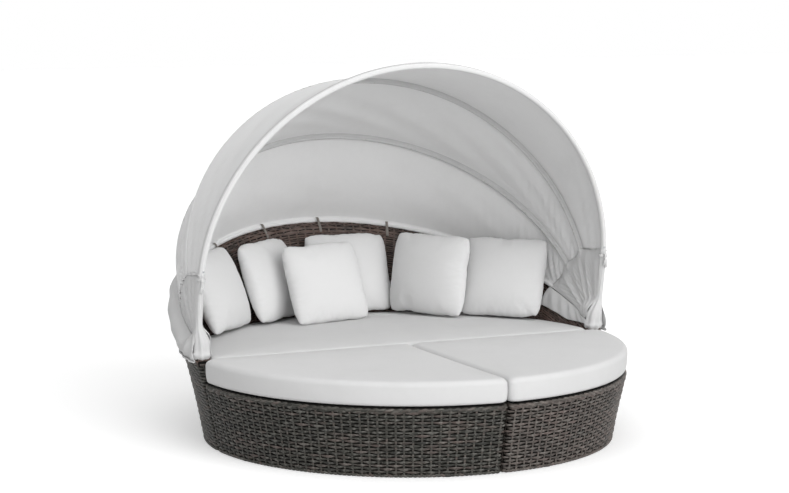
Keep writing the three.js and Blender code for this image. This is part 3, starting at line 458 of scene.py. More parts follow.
def new_group(name, inputs, outputs):
    """A node group with named sockets; returns its helper and its two end nodes."""
    tree = bpy.data.node_groups.new(name, "ShaderNodeTree")
    for label, kind, value in inputs:
        socket = tree.interface.new_socket(name=label, in_out="INPUT", socket_type=kind)
        if value is not None:
            socket.default_value = value
    for label, kind in outputs:
        tree.interface.new_socket(name=label, in_out="OUTPUT", socket_type=kind)
    nodes = Nodes(tree)
    return nodes, nodes.put("NodeGroupInput"), nodes.put("NodeGroupOutput")


def cloth_group():
    """Woven cloth: crossing threads, a soft mottle and dust in broad patches."""
    name = "Woven Cloth"
    if name in bpy.data.node_groups:
        return bpy.data.node_groups[name]
    nodes, given, out = new_group(
        name,
        [("Colour", "NodeSocketColor", None), ("Thread", "NodeSocketFloat", 900.0),
         ("Mottle", "NodeSocketFloat", 0.04), ("Grime", "NodeSocketFloat", 0.05)],
        [("Colour", "NodeSocketColor"), ("Roughness", "NodeSocketFloat"), ("Height", "NodeSocketFloat")])
    place = nodes.put("ShaderNodeTexCoord").outputs["Object"]
    uv = nodes.put("ShaderNodeUVMap", uv_map="Metres").outputs[0]
    split = nodes.put("ShaderNodeSeparateXYZ", inputs={0: uv})
    warp = nodes.math("SINE", nodes.math("MULTIPLY", split.outputs[0], given.outputs["Thread"]))
    weft = nodes.math("SINE", nodes.math("MULTIPLY", split.outputs[1], given.outputs["Thread"]))
    threads = nodes.math("MULTIPLY", warp, weft)
    slub = nodes.noise(place, 160.0, 3.0)
    broad = nodes.noise(place, 5.0, 4.0, 0.6)
    fine = nodes.noise(place, 38.0, 3.0)
    tone = nodes.math("ADD", nodes.math("MULTIPLY", nodes.math("SUBTRACT", broad, 0.5), 1.6),
                      nodes.math("MULTIPLY", nodes.math("SUBTRACT", fine, 0.5), 0.7))
    darker = nodes.mix(given.outputs["Mottle"], given.outputs["Colour"],
                       (0.25, 0.25, 0.26, 1.0), "MULTIPLY")
    mottled = nodes.mix(nodes.math("ADD", tone, 0.5, clamp=True), given.outputs["Colour"], darker)
    dust = nodes.math("MULTIPLY", nodes.span(broad, 0.55, 0.8), given.outputs["Grime"])
    nodes.feed(out.inputs["Colour"], nodes.mix(dust, mottled, (0.34, 0.32, 0.29, 1.0)))
    nodes.feed(out.inputs["Roughness"], nodes.span(slub, 0.2, 0.8, 0.82, 0.97))
    nodes.feed(out.inputs["Height"], nodes.math("ADD", nodes.math("MULTIPLY", threads, 0.35), slub))
    return nodes.tree


def strand_group():
    """A flat resin strand: long streaks, a tone of its own, and paler spots that are partly wear and partly
    painted highlight.
    """
    name = "Resin Strand"
    if name in bpy.data.node_groups:
        return bpy.data.node_groups[name]
    nodes, given, out = new_group(
        name,
        [("Colour", "NodeSocketColor", None), ("Warm", "NodeSocketColor", None),
         ("Streak", "NodeSocketFloat", 0.5), ("Wear and Highlight", "NodeSocketFloat", 0.3)],
        [("Colour", "NodeSocketColor"), ("Roughness", "NodeSocketFloat"), ("Height", "NodeSocketFloat")])
    uv = nodes.put("ShaderNodeUVMap", uv_map="Metres").outputs[0]
    stretch = nodes.put("ShaderNodeMapping", inputs={0: uv, 3: (11.0, 5.3, 1.0)})
    streak = nodes.noise(stretch.outputs[0], 1.0, 4.0, 0.65)
    finely = nodes.put("ShaderNodeMapping", inputs={0: uv, 3: (26.0, 9.0, 1.0)})
    grain = nodes.noise(finely.outputs[0], 2.2, 3.0, 0.6)
    row = nodes.put("ShaderNodeMapping", inputs={0: uv, 3: (6.5, 3.7, 1.0)})
    patch = nodes.noise(row.outputs[0], 1.0, 2.0)
    dark = nodes.mix(given.outputs["Streak"], given.outputs["Colour"], (0.16, 0.15, 0.14, 1.0), "MULTIPLY")
    base = nodes.mix(nodes.span(streak, 0.34, 0.62), dark, given.outputs["Colour"])
    warm = nodes.mix(nodes.span(patch, 0.50, 0.68, 0.0, 0.6), base, given.outputs["Warm"])
    deep = nodes.mix(nodes.span(patch, 0.34, 0.50, 0.55, 0.0), warm, (0.010, 0.010, 0.009, 1.0))
    # Paler spots, part wear and part painted highlight standing in for the gloss on the strands
    paler_wear_and_highlight = nodes.math("MULTIPLY", nodes.span(grain, 0.47, 0.66), given.outputs["Wear and Highlight"])
    nodes.feed(out.inputs["Colour"], nodes.mix(paler_wear_and_highlight, deep, (0.25, 0.24, 0.22, 1.0)))
    nodes.feed(out.inputs["Roughness"], nodes.span(streak, 0.25, 0.75, 0.38, 0.60))
    nodes.feed(out.inputs["Height"], nodes.math("ADD", streak, nodes.math("MULTIPLY", grain, 0.5)))
    return nodes.tree


def coat_group():
    """Painted or plated metal and moulded plastic: fine speckle, dull patches and rubbed spots."""
    name = "Coated Surface"
    if name in bpy.data.node_groups:
        return bpy.data.node_groups[name]
    nodes, given, out = new_group(
        name,
        [("Colour", "NodeSocketColor", None), ("Rubbed", "NodeSocketColor", None),
         ("Rough", "NodeSocketFloat", 0.4), ("Speckle", "NodeSocketFloat", 900.0)],
        [("Colour", "NodeSocketColor"), ("Roughness", "NodeSocketFloat"), ("Height", "NodeSocketFloat")])
    place = nodes.put("ShaderNodeTexCoord").outputs["Object"]
    speckle = nodes.noise(place, given.outputs["Speckle"], 2.0)
    patch = nodes.noise(place, 22.0, 4.0, 0.6)
    rub = nodes.span(patch, 0.6, 0.72, 0.0, 0.5)
    nodes.feed(out.inputs["Colour"], nodes.mix(rub, given.outputs["Colour"], given.outputs["Rubbed"]))
    spread = nodes.math("MULTIPLY", nodes.math("SUBTRACT", patch, 0.5), 0.35)
    nodes.feed(out.inputs["Roughness"], nodes.math("ADD", given.outputs["Rough"], spread, clamp=True))
    nodes.feed(out.inputs["Height"], speckle)
    return nodes.tree


def finish_with(name, group, values, bump, distance, shader):
    """A material: one group feeds colour, roughness and bump; constants sit on the shader."""
    if name in bpy.data.materials:
        return bpy.data.materials[name]
    material = bpy.data.materials.new(name)
    nodes = cleared(material)
    effect = nodes.put("ShaderNodeGroup", node_tree=group)
    for label, value in values.items():
        effect.inputs[label].default_value = (*value, 1.0) if isinstance(value, (tuple, list)) else value
    surface = nodes.put("ShaderNodeBsdfPrincipled")
    for label, value in shader.items():
        surface.inputs[label].default_value = value
    raised = nodes.put("ShaderNodeBump", inputs={
        "Strength": bump, "Distance": distance, "Height": effect.outputs["Height"]})
    nodes.feed(surface.inputs["Base Color"], effect.outputs["Colour"])
    nodes.feed(surface.inputs["Roughness"], effect.outputs["Roughness"])
    nodes.feed(surface.inputs["Normal"], raised.outputs["Normal"])
    end = nodes.put("ShaderNodeOutputMaterial")
    nodes.feed(end.inputs["Surface"], surface.outputs["BSDF"])
    return material


def strand_finish(name, colour, warm, wear_and_highlight=0.4):
    return finish_with(name, strand_group(), {
        "Colour": tuple(colour), "Warm": tuple(warm), "Streak": 0.8, "Wear and Highlight": wear_and_highlight}, 0.35, 0.0006,
        {"Specular IOR Level": 0.3})


def shadow_finish(name, colour):
    return finish_with(name, strand_group(), {
        "Colour": tuple(colour), "Warm": tuple(colour), "Streak": 0.4, "Wear and Highlight": 0.02}, 0.3, 0.0008,
        {"Specular IOR Level": 0.1})


def cloth_finish(name, colour, mottle=0.05, grime=0.04, sheen=0.1):
    return finish_with(name, cloth_group(), {
        "Colour": tuple(colour), "Thread": 5200.0, "Mottle": mottle, "Grime": grime}, 0.12, 0.0004,
        {"Specular IOR Level": 0.2, "Sheen Weight": sheen, "Sheen Roughness": 0.5})


def metal_finish(name, colour, rubbed, rough, metallic):
    return finish_with(name, coat_group(), {
        "Colour": colour, "Rubbed": rubbed, "Rough": rough}, 0.08, 0.0002,
        {"Metallic": metallic})


def zinc_finish():
    return metal_finish("zinc_plate", shade(172, 174, 176), shade(132, 134, 136), 0.36, 0.9)


# The round wall


def shell(z):
    """Radius of the wall's outer face at a height."""
    rise = z / 0.8
    return 0.873 + 0.138 * rise + 0.086 * rise * rise


RIM_SLOPE = (BACK_HEIGHT - ARM_HEIGHT) / shell(BACK_HEIGHT)

# How far the inner and front walls' strands stop short of the wall beside them
INNER_SETBACK, FRONT_SETBACK = 0.0053, 0.003


def under_rim(angle, inset, drop):
    """Points this far in from the outer face and this far under the rim plane."""
    angle, inset, drop = np.broadcast_arrays(angle, inset, drop)
    radius = shell(ARM_HEIGHT) - inset
    for _ in range(14):
        z = ARM_HEIGHT + RIM_SLOPE * radius * np.sin(angle) - drop
        radius = shell(z) - inset
    return np.stack([radius * np.cos(angle), radius * np.sin(angle) + CENTRE_Y, z], -1)


def arc(cx, cy, radius, start, end):
    """One turn of an outline; it gives points and outward directions at shares of its length."""
    def at(share):
        angle = start + (end - start) * share
        return cx + radius * np.cos(angle), cy + radius * np.sin(angle), np.cos(angle), np.sin(angle)
    return at


def line(ax, ay, bx, by, nx, ny):
    """One straight run of an outline, with its outward direction."""
    def at(share):
        return ax + (bx - ax) * share, ay + (by - ay) * share, nx + 0 * share, ny + 0 * share
    return at


def turn_of(radius, side, corner):
    """How far out a rounded corner's centre is, and the angle at which the round part meets it."""
    reach = np.sqrt((radius - corner) ** 2 - (side + corner) ** 2)
    return reach, np.arctan2(side + corner, reach)


def round_behind(radius, side, corner, end):
    """Half a disc's outline, from one place on its flat side round the back to its opposite."""
    reach, swing = turn_of(radius, side, corner)
    return [
        line(end, side, reach, side, 0, -1),
        arc(reach, side + corner, corner, -np.pi / 2, swing),
        arc(0, 0, radius, swing, np.pi - swing),
        arc(-reach, side + corner, corner, np.pi - swing, np.pi * 1.5),
        line(-reach, side, -end, side, 0, -1),
    ]


def outer_runs(radius, side, corner):
    """The sofa's outside, from the front end of one arm round the back to the other."""
    return round_behind(radius, side, corner, radius - WALL)


def half_runs(radius, side, corner):
    """A whole half disc, starting at the middle of its flat side."""
    return round_behind(radius, side, corner, 0 * radius)


def quarter_runs(radius, side, corner):
    """A whole quarter disc beside +X and -Y, starting at its inner corner."""
    reach, swing = turn_of(radius, side, corner)
    return [
        arc(side + corner, -side - corner, corner, np.pi / 2, np.pi),
        line(side, -side - corner, side, -reach, -1, 0),
        arc(side + corner, -reach, corner, np.pi, np.pi * 1.5 + swing),
        arc(0, 0, radius, np.pi * 1.5 + swing, np.pi * 2 - swing),
        arc(reach, -side - corner, corner, np.pi * 2 - swing, np.pi * 2.5),
        line(reach, -side, side + corner, -side, 0, 1),
    ]


def front_runs(radius, side, corner):
    """The flat woven front under the seat."""
    half = radius - WALL - FRONT_SETBACK
    return [line(-half, side, half, side, 0, -1)]


def inner_runs(radius, side, corner):
    """The round wall's inside face."""
    inside = radius - WALL
    start = np.arcsin((side + INNER_SETBACK) / inside)
    def at(share):
        angle = start + (np.pi - 2 * start) * share
        return inside * np.cos(angle), inside * np.sin(angle), -np.cos(angle), -np.sin(angle)
    return [at]


def run_lengths(runs, radius, corner=CORNER):
    """Length of each run of an outline."""
    share = np.linspace(0, 1, 200)
    made = []
    for run in runs(np.float64(radius), HALF_GAP, corner):
        x, y = run(share)[:2]
        made.append(np.hypot(np.diff(x + 0 * share), np.diff(y + 0 * share)).sum())
    return np.array(made)


def on_outline(runs, spans, s, radius, side=HALF_GAP, corner=CORNER, flip=1):
    """Points and outward directions at distances s along an outline of any radius."""
    s, radius, side = np.broadcast_arrays(s, radius, side)
    made = np.zeros(s.shape + (4,))
    ends = np.concatenate([[0], np.cumsum(spans)])
    parts = runs(radius, side, corner)
    for k, run in enumerate(parts):
        inside = (s >= ends[k] - 1e-12) & (s <= ends[k + 1] + 1e-9)
        share = np.clip((s - ends[k]) / spans[k], 0, 1)
        values = np.stack(np.broadcast_arrays(*run(share)), -1)
        made[inside] = values[inside]
    return made[..., 0] * flip, made[..., 1] + CENTRE_Y, made[..., 2] * flip, made[..., 3]


# Weave: the height at which outlines are measured, the shortest stake and the fewest points of a
# strand that are made, how thin a wrapped roll is between its strands, and each roll's height,
# inset, radius and pitch
GAUGE_HEIGHT = 0.2
SHORTEST_STAKE = 0.02
FEWEST_POINTS = 5
ROLL_WAIST = 0.46
FOOT_ROLL = (0.0078, 0.0, 0.0070, 0.020)
TOP_ROLL = (0.2795, 0.0030, 0.0088, 0.032)

# The finer strands of the inner wall and the rim, in the order of Wall's first values
FINE_STRANDS = (0.74, 0.14, 0.45, 0.72, 0.0022)

# The sofa's outer wall: from where to where it has rows, how far rows and stakes run past the
# edge under the rim, and its strands' share of the swing and height over the face
OUTER_ROWS = (0.0155, 0.81)
ROWS_OVER, STAKES_OVER = 0.009, 0.004
OUTER_DEPTH, OUTER_LIFT = 0.62, 0.0030

# The inner wall: where rows and stakes start, and how far stakes run past the edge
INNER_ROWS, INNER_STAKES, INNER_STAKES_OVER = SEAT + 0.012, SEAT + 0.002, 0.003

# The low walls under the seats: from where to where they have rows, stakes and their dark backing of
# painted shade, and how far their flat sides stand back
LOW_ROWS, LOW_STAKES = (0.0150, SEAT - 0.0135), (0.010, SEAT - 0.012)
LOW_BACKING = (0.004, 0.2855)
OTTOMAN_RECESS, SOFA_RECESS = 0.0078, 0.0076


class Wall:
    """One woven face: its outline, its spans and the side of the daybed it is on. The first
    values are a strand's width and its change in shares of the pitch, the shares of the
    settings' swing and pitch that it takes, and its height over the face."""

    fullness, spread, depth, thin, lift = 0.60, 0.19, 1.0, 1.0, 0.0012
    strand_crown, strand_wander = 0.0021, 0.0009
    bend, bend_most = 1.3, 0.862
    stake_half, stake_lift, stake_crown, stake_wander = 0.0043, 0.0018, 0.0016, 0.0018
    backing_inset, backing_step = 0.0030, 0.012
    backing_lip = ((0.006, 0.004), (0.014, 0.006), (0.040, 0.006))

    def __init__(self, runs, flip=1, seed=1, side=HALF_GAP):
        self.runs, self.flip, self.side = runs, flip, side
        self.spans = run_lengths(runs, shell(GAUGE_HEIGHT))
        self.total = self.spans.sum()
        self.random = np.random.default_rng(seed)

    def at(self, s, z):
        """Points on the face at distances s and heights z, and the directions out of it."""
        s, z = np.broadcast_arrays(s, z)
        x, y, nx, ny = on_outline(self.runs, self.spans, s, shell(z), self.side, flip=self.flip)
        return np.stack([x, y, z], -1), np.stack([nx, ny, 0 * nx], -1)

    def rows(self, patches, heights, looks):
        """Strands that pass in front of every second stake. heights(s) gives each row's middle
        line and which of it is there."""
        stake = self.stake(looks)
        step = stake / 5
        count = int(round(self.total / step))
        s = np.linspace(0, self.total, count + 1)
        across = np.array([-1.0, -0.55, 0.0, 0.55, 1.0])[:, None]
        for k, (z, there) in enumerate(heights(s)):
            runs = np.flatnonzero(there)
            if len(runs) < FEWEST_POINTS:
                continue
            here = slice(runs[0], runs[-1] + 1)
            at, middle = s[here], z[here]
            wave = np.cos(np.pi * (at / stake + k))
            swing = looks.swing * self.depth * self.random.uniform(0.85, 1.1)
            drift = self.strand_wander * np.sin(
                at * self.random.uniform(7, 18) + self.random.uniform(0, ROUND))
            half = 0.5 * looks.row_pitch * self.thin * self.random.uniform(0.94, 1.05)
            half = half * (self.fullness + self.spread * wave)
            height = (middle + drift)[None, :] + across * half[None, :]
            pass_over = np.tanh(self.bend * wave)[None, :] / self.bend_most
            out = self.lift + swing * pass_over + self.strand_crown * (1 - across ** 2)
            points, outward = self.at(np.broadcast_to(at, height.shape), height)
            points = points + outward * out[..., None]
            uv = plain_uv(at + 0.37 * k, k + across[:, 0] * 0.012)
            patches.add(points, uv, outward=outward)

    def stake(self, looks):
        """Stake pitch that fits a whole even number of times."""
        return self.total / (2 * round(self.total / looks.stake_pitch / 2))

    def stakes(self, patches, low, high, looks):
        """Upright ribs; high(s) gives where each ends."""
        stake, half = self.stake(looks), self.stake_half
        across = np.array([-1.0, 0.0, 1.0])
        for j in range(int(round(self.total / stake)) + 1):
            off = self.random.uniform(-self.stake_wander, self.stake_wander)
            s = min(max(j * stake + off, half), self.total - half)
            top = float(high(np.array([s]))[0])
            if top - low < SHORTEST_STAKE:
                continue
            z = np.arange(low, top, looks.row_pitch / 2)
            grid_z = np.broadcast_to(z[:, None], (len(z), 3))
            points, outward = self.at(s + across[None, :] * half + 0 * grid_z, grid_z)
            out = self.stake_lift + self.stake_crown * (1 - across[None, :, None] ** 2)
            points = points + outward * out
            patches.add(points, plain_uv(across * half + 0.91 * j, z * 30), outward=outward)

    def backing(self, patches, low, high, closed):
        """A dark sheet of painted shade behind the strands, with a lip over its top edge."""
        steps = int(self.total / self.backing_step)
        s = np.linspace(0, self.total, steps + 1)[: -1 if closed else None]
        profile = [(self.backing_inset, z) for z in np.linspace(low, high, 14)]
        profile += [(inset, high + up) for inset, up in self.backing_lip]
        rows = []
        for inset, z in profile:
            points, outward = self.at(s, z)
            rows.append(points - outward * inset)
        outward = np.broadcast_to(outward, (len(rows),) + outward.shape)
        uv = plain_uv(np.append(s, self.total), np.array([z for _, z in profile]) * 40)
        patches.add(np.stack(rows), uv, close_columns=closed, outward=outward)

    def bead(self, patches, z, inset, radius, pitch, slant, closed):
        """A roll wrapped on the slant along a level edge."""
        count = int(self.total / (pitch / 7))
        s = np.linspace(0, self.total, count + 1)[: -1 if closed else None]
        around = np.linspace(-np.pi, np.pi, 17)[:-1]
        points, outward = self.at(s[:, None] + 0 * around[None, :], np.full((len(s), len(around)), z))
        fold = np.abs(np.sin(np.pi * (s[:, None] / pitch + slant * around[None, :] / (2 * np.pi))))
        size = radius * (ROLL_WAIST + (1 - ROLL_WAIST) * fold ** 0.7)
        points = points + outward * (size * np.cos(around) - inset)[..., None]
        points[..., 2] += size * np.sin(around)
        if not closed:
            points = capped(points)
            s = np.concatenate([s[:1], s, s[-1:]])
        along = np.concatenate([s, [self.total]]) if closed else s
        turns = np.linspace(0, 1, len(around) + 1)
        strand = np.floor(along[:, None] / pitch + slant * (turns[None, :] - 0.5))
        uv = np.stack([0.09 * turns[None, :] + 0.13 * strand, 0.61 * strand], -1)
        patches.add(points, uv, close_columns=True, close_rows=closed)


def capped(rings):
    """Rings of points with both ends drawn to their middles."""
    first = np.broadcast_to(rings[0].mean(0), rings[0].shape)[None]
    last = np.broadcast_to(rings[-1].mean(0), rings[-1].shape)[None]
    return np.concatenate([first, rings, last])


def level_rows(low, high, pitch, top=None):
    """Level rows between two heights, each kept where it lies under a sloping top."""
    count = int((high - low) / pitch)
    def heights(s):
        for k in range(count):
            z = np.full(s.shape, low + (k + 0.5) * pitch)
            yield z, (np.ones(s.shape, bool) if top is None else z < top(s))
    return heights


def set_finish(nodes, material):
    """Gives carried-over frame nodes their material."""
    for name in nodes:
        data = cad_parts[name].data
        data.materials.clear()
        data.materials.append(material)


def settle(piece, body, replaces=()):
    """Rides a piece on a body and hides the frame's nodes that it stands for."""
    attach(piece, body)
    if replaces:
        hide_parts(*replaces)


def toward(azimuth, elevation):
    """The direction from the daybed to the camera or a lamp, from angles round it and up."""
    return Vector((
        math.sin(azimuth) * math.cos(elevation),
        -math.cos(azimuth) * math.cos(elevation),
        math.sin(elevation)))


# The stage: the floor's half width, the camera's sensor in millimetres, how far it sees and
# the point that it looks at
FLOOR_HALF = 30
SENSOR = 36
FARTHEST = 200
LOOK_AT = Vector((-0.0641, CENTRE_Y, 0.8157))


# Operators


class DAYBED_OT_stage(bpy.types.Operator):
    """Places the floor, the soft lights and the camera"""

    bl_idname = "daybed.stage"
    bl_label = "Stage"

    def execute(self, context):
        looks, scene = context.scene.daybed_stage, context.scene
        scene.view_settings.view_transform = "Standard"
        half = FLOOR_HALF
        mesh = bpy.data.meshes.new("floor")
        mesh.from_pydata([(-half, -half, 0), (half, -half, 0), (half, half, 0), (-half, half, 0)],
                         [], [(0, 1, 2, 3)])
        mesh.materials.append(self.floor_material())
        floor = bpy.data.objects.new("floor", mesh)
        scene.collection.objects.link(floor)
        self.world(scene, looks.world)
        self.sun(scene, "key_light", looks.key, 20, 22, 50)
        self.sun(scene, "front_light", looks.front, 0, 8, 80)
        self.sun(scene, "top_light", looks.top, -20, 72, 70)
        data = bpy.data.cameras.new("camera")
        data.lens, data.sensor_width = looks.lens, SENSOR
        data.clip_end = FARTHEST
        camera = bpy.data.objects.new("camera", data)
        scene.collection.objects.link(camera)
        away = toward(looks.azimuth, looks.elevation)
        camera.location = LOOK_AT + away * looks.distance
        camera.rotation_euler = (-away).to_track_quat("-Z", "Y").to_euler()
        scene.camera = camera
        return {"FINISHED"}

    def sun(self, scene, name, strength, azimuth, elevation, angle):
        """A lamp from far away: degrees round the daybed, up, and how wide it spreads."""
        data = bpy.data.lights.new(name, "SUN")
        data.energy, data.angle = strength, math.radians(angle)
        lamp = bpy.data.objects.new(name, data)
        away = toward(math.radians(azimuth), math.radians(elevation))
        lamp.rotation_euler = (-away).to_track_quat("-Z", "Y").to_euler()
        scene.collection.objects.link(lamp)

    def seen(self, nodes):
        """One where the camera, a gloss or glass looks at it."""
        path = nodes.put("ShaderNodeLightPath")
        either = nodes.math("MAXIMUM", path.outputs["Is Camera Ray"], path.outputs["Is Glossy Ray"])
        return nodes.math("MAXIMUM", either, path.outputs["Is Transmission Ray"])

    def world(self, scene, strength):
        """Plain white where it is seen, and a weaker light on everything else."""
        world = bpy.data.worlds.new("plain_world")
        nodes = cleared(world)
        level = nodes.span(self.seen(nodes), 0.0, 1.0, strength, 1.0)
        sky = nodes.put("ShaderNodeBackground", inputs={"Color": (1, 1, 1, 1), "Strength": level})
        nodes.feed(nodes.put("ShaderNodeOutputWorld").inputs[0], sky.outputs[0])
        scene.world = world

    def floor_material(self):
        """A pale, matt floor that is lifted a little where it is seen."""
        material = bpy.data.materials.new("pale_floor")
        nodes = cleared(material)
        place = nodes.put("ShaderNodeTexCoord").outputs["Object"]
        cloud = nodes.noise(place, 0.6, 3.0)
        tint = nodes.mix(cloud, (0.80, 0.80, 0.80, 1), (0.83, 0.83, 0.83, 1))
        matt = nodes.put("ShaderNodeBsdfPrincipled", inputs={"Base Color": tint})
        matt.inputs["Roughness"].default_value = 0.9
        matt.inputs["Specular IOR Level"].default_value = 0.1
        glow = nodes.put("ShaderNodeEmission", inputs={
            "Color": (1, 1, 1, 1), "Strength": nodes.math("MULTIPLY", self.seen(nodes), 0.35)})
        both = nodes.put("ShaderNodeAddShader", inputs={0: matt.outputs[0], 1: glow.outputs[0]})
        nodes.feed(nodes.put("ShaderNodeOutputMaterial").inputs[0], both.outputs[0])
        return material


class DAYBED_OT_weave(bpy.types.Operator):
    """Weaves the walls: strands over stakes, wrapped edges and the rim"""

    bl_idname = "daybed.weave"
    bl_label = "Woven walls"

    def execute(self, context):
        looks = context.scene.daybed_weave
        # Lit and shaded copies of one strand: painted shade on the sofa and the left ottoman, painted light
        # on the right ottoman
        outer = strand_finish("woven_painted_shade", looks.shaded_strand_colour, looks.warm_colour)
        light = strand_finish("woven_painted_light", looks.lit_strand_colour, looks.warm_colour)
        inner = strand_finish("woven_inside", looks.inner_colour, shade(92, 70, 60), 0.15)
        # Painted shade: the near-black finish for the sheets behind the strands and for the frame's own wall
        # nodes, standing in for the shadow between strands
        behind = shadow_finish("painted_shade_behind_weave", looks.shadow_colour)
        slats = strand_finish("deck_slats", shade(70, 64, 60), shade(80, 70, 64), 0.1)
        set_finish(["sofa_outer_weave", "sofa_inner_weave", "sofa_rim_braid"], behind)
        set_finish(["sofa_deck", "ottoman_right_deck", "ottoman_left_deck"], slats)
        self.sofa_outside(looks, outer)
        self.sofa_inside(looks, inner)
        self.recessed(looks, outer, behind, "sofa_front", "sofa", front_runs, 1, 13, False)
        for side, flip, seed in (("right", 1, 21), ("left", -1, 22)):
            self.recessed(looks, light if flip > 0 else outer, behind, f"ottoman_{side}", f"ottoman_{side}",
                          quarter_runs, flip, seed, True)
        self.rim(looks, inner)
        return {"FINISHED"}

    def sofa_outside(self, looks, material):
        wall = Wall(outer_runs, seed=11)
        wall.depth, wall.lift = OUTER_DEPTH, OUTER_LIFT
        def top(s):
            z = np.full(s.shape, ARM_HEIGHT)
            for _ in range(12):
                y = on_outline(outer_runs, wall.spans, s, shell(z))[1] - CENTRE_Y
                z = ARM_HEIGHT + RIM_SLOPE * y - CAP_HEIGHT
            return z
        patches, upright = Patches(), Patches()
        rows = level_rows(*OUTER_ROWS, looks.row_pitch, lambda s: top(s) + ROWS_OVER)
        wall.rows(patches, rows, looks)
        wall.stakes(upright, HEM, lambda s: top(s) + STAKES_OVER, looks)
        wall.bead(upright, *FOOT_ROLL, 1.0, False)
        settle(patches.build("sofa_outer_strands", material), "sofa")
        settle(upright.build("sofa_outer_stakes", material), "sofa")

    def sofa_inside(self, looks, material):
        wall = Wall(inner_runs, seed=12)
        wall.fullness, wall.spread, wall.depth, wall.thin, wall.lift = FINE_STRANDS
        pitch = looks.row_pitch * wall.thin
        start = np.arcsin((HALF_GAP + INNER_SETBACK) / (shell(GAUGE_HEIGHT) - WALL))
        def edge(s):
            angle = start + (np.pi - 2 * start) * s / wall.total
            return under_rim(angle, WALL, CAP_HEIGHT)[:, 2]
        def heights(s):
            for k in range(50):
                z = edge(s) - (k + 0.35) * pitch
                yield z, z > INNER_ROWS
        patches = Patches()
        wall.rows(patches, heights, looks)
        wall.stakes(patches, INNER_STAKES, lambda s: edge(s) + INNER_STAKES_OVER, looks)
        settle(patches.build("sofa_inner_strands", material), "sofa")

    def recessed(self, looks, material, behind, name, body, runs, flip, seed, closed):
        """A woven face whose flat sides stand back, so that its strands clear their neighbours."""
        wall = Wall(runs, flip, seed, side=HALF_GAP + (OTTOMAN_RECESS if closed else SOFA_RECESS))
        back = Patches()
        # A dark sheet of painted shade behind the strands, in place of the frame's weave node
        wall.backing(back, *LOW_BACKING, closed)
        settle(back.build(f"{name}_backing", behind), body, [f"{name}_weave"])
        patches = Patches()
        wall.rows(patches, level_rows(*LOW_ROWS, looks.row_pitch), looks)
        wall.stakes(patches, LOW_STAKES[0], lambda s: 0 * s + LOW_STAKES[1], looks)
        wall.bead(patches, *TOP_ROLL, 2.0, closed)
        wall.bead(patches, *FOOT_ROLL, -1.0, closed)
        settle(patches.build(f"{name}_strands", material), body)

    def rim(self, looks, material):
        """Strands that run along the rim, over stakes laid across it."""
        wall = Rim()
        patches = Patches()
        count = int(wall.across / (looks.row_pitch * wall.thin))
        def heights(s):
            for k in range(count):
                yield np.full(s.shape, (k + 0.5) * wall.across / count), np.ones(s.shape, bool)
        wall.rows(patches, heights, looks)
        wall.stakes(patches, 0.0, lambda s: 0 * s + wall.across, looks)
        settle(patches.build("sofa_rim_strands", material), "sofa")


class Rim(Wall):
    """The rim's woven cap. Its second direction runs over the rim, from the outside inwards.
    It stops short of the arms' ends, overhangs both faces and turns down over their edges."""

    fullness, spread, depth, thin, lift = FINE_STRANDS
    setback, mean_radius = 0.004, 0.95
    overhang, skirt, corner = 0.002, 0.003, 0.006
    probe = 0.0015

    def __init__(self):
        self.random = np.random.default_rng(14)
        self.start = math.asin((HALF_GAP + self.setback) / (shell(ARM_HEIGHT) - WALL))
        self.total = (math.pi - 2 * self.start) * self.mean_radius
        turn = np.radians(np.linspace(0, 90, 6))
        near, far, corner = -self.overhang, WALL + self.overhang, self.corner
        section = [(near, CAP_HEIGHT + self.skirt)]
        section += [(near + corner - corner * math.cos(a), corner - corner * math.sin(a)) for a in turn]
        section += [(far - corner + corner * math.sin(a), corner - corner * math.cos(a)) for a in turn]
        section += [(far, CAP_HEIGHT + self.skirt)]
        self.section = np.array(section)
        self.marks = lengths(self.section)
        self.across = self.marks[-1]

    def place(self, s, p):
        inset = np.interp(p, self.marks, self.section[:, 0])
        drop = np.interp(p, self.marks, self.section[:, 1])
        angle = self.start + (math.pi - 2 * self.start) * s / self.total
        return under_rim(angle, inset, drop)

    def at(self, s, p):
        s, p = np.broadcast_arrays(s, p)
        step = self.probe
        here = np.clip(p, 0, self.across)
        along = self.place(s + step, here) - self.place(s - step, here)
        over = (self.place(s, np.clip(here + step, 0, self.across))
                - self.place(s, np.clip(here - step, 0, self.across)))
        outward = np.cross(along, over)
        outward /= np.linalg.norm(outward, axis=-1, keepdims=True)
        return self.place(s, here), outward


class DAYBED_OT_frame(bpy.types.Operator):
    """Finishes the steel frames, feet, bows and pivot fittings"""

    bl_idname = "daybed.frame"
    bl_label = "Frame and fittings"

    def execute(self, context):
        steel = metal_finish("painted_steel", shade(58, 54, 51), shade(88, 84, 80), 0.5, 0.0)
        tube = metal_finish("bow_coat", shade(186, 186, 184), shade(206, 206, 204), 0.34, 0.6)
        zinc = zinc_finish()
        plastic = metal_finish("foot_plastic", shade(30, 29, 28), shade(60, 58, 56), 0.55, 0.0)
        names = list(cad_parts)
        set_finish([n for n in names if n.endswith("_frame") or n.endswith("_bracket")], steel)
        set_finish([n for n in names if n.startswith("bow_")], tube)
        set_finish([n for n in names if n.endswith("_bolt") or n.endswith("_nut")], zinc)
        set_finish([n for n in names if "_foot_" in n], plastic)
        return {"FINISHED"}


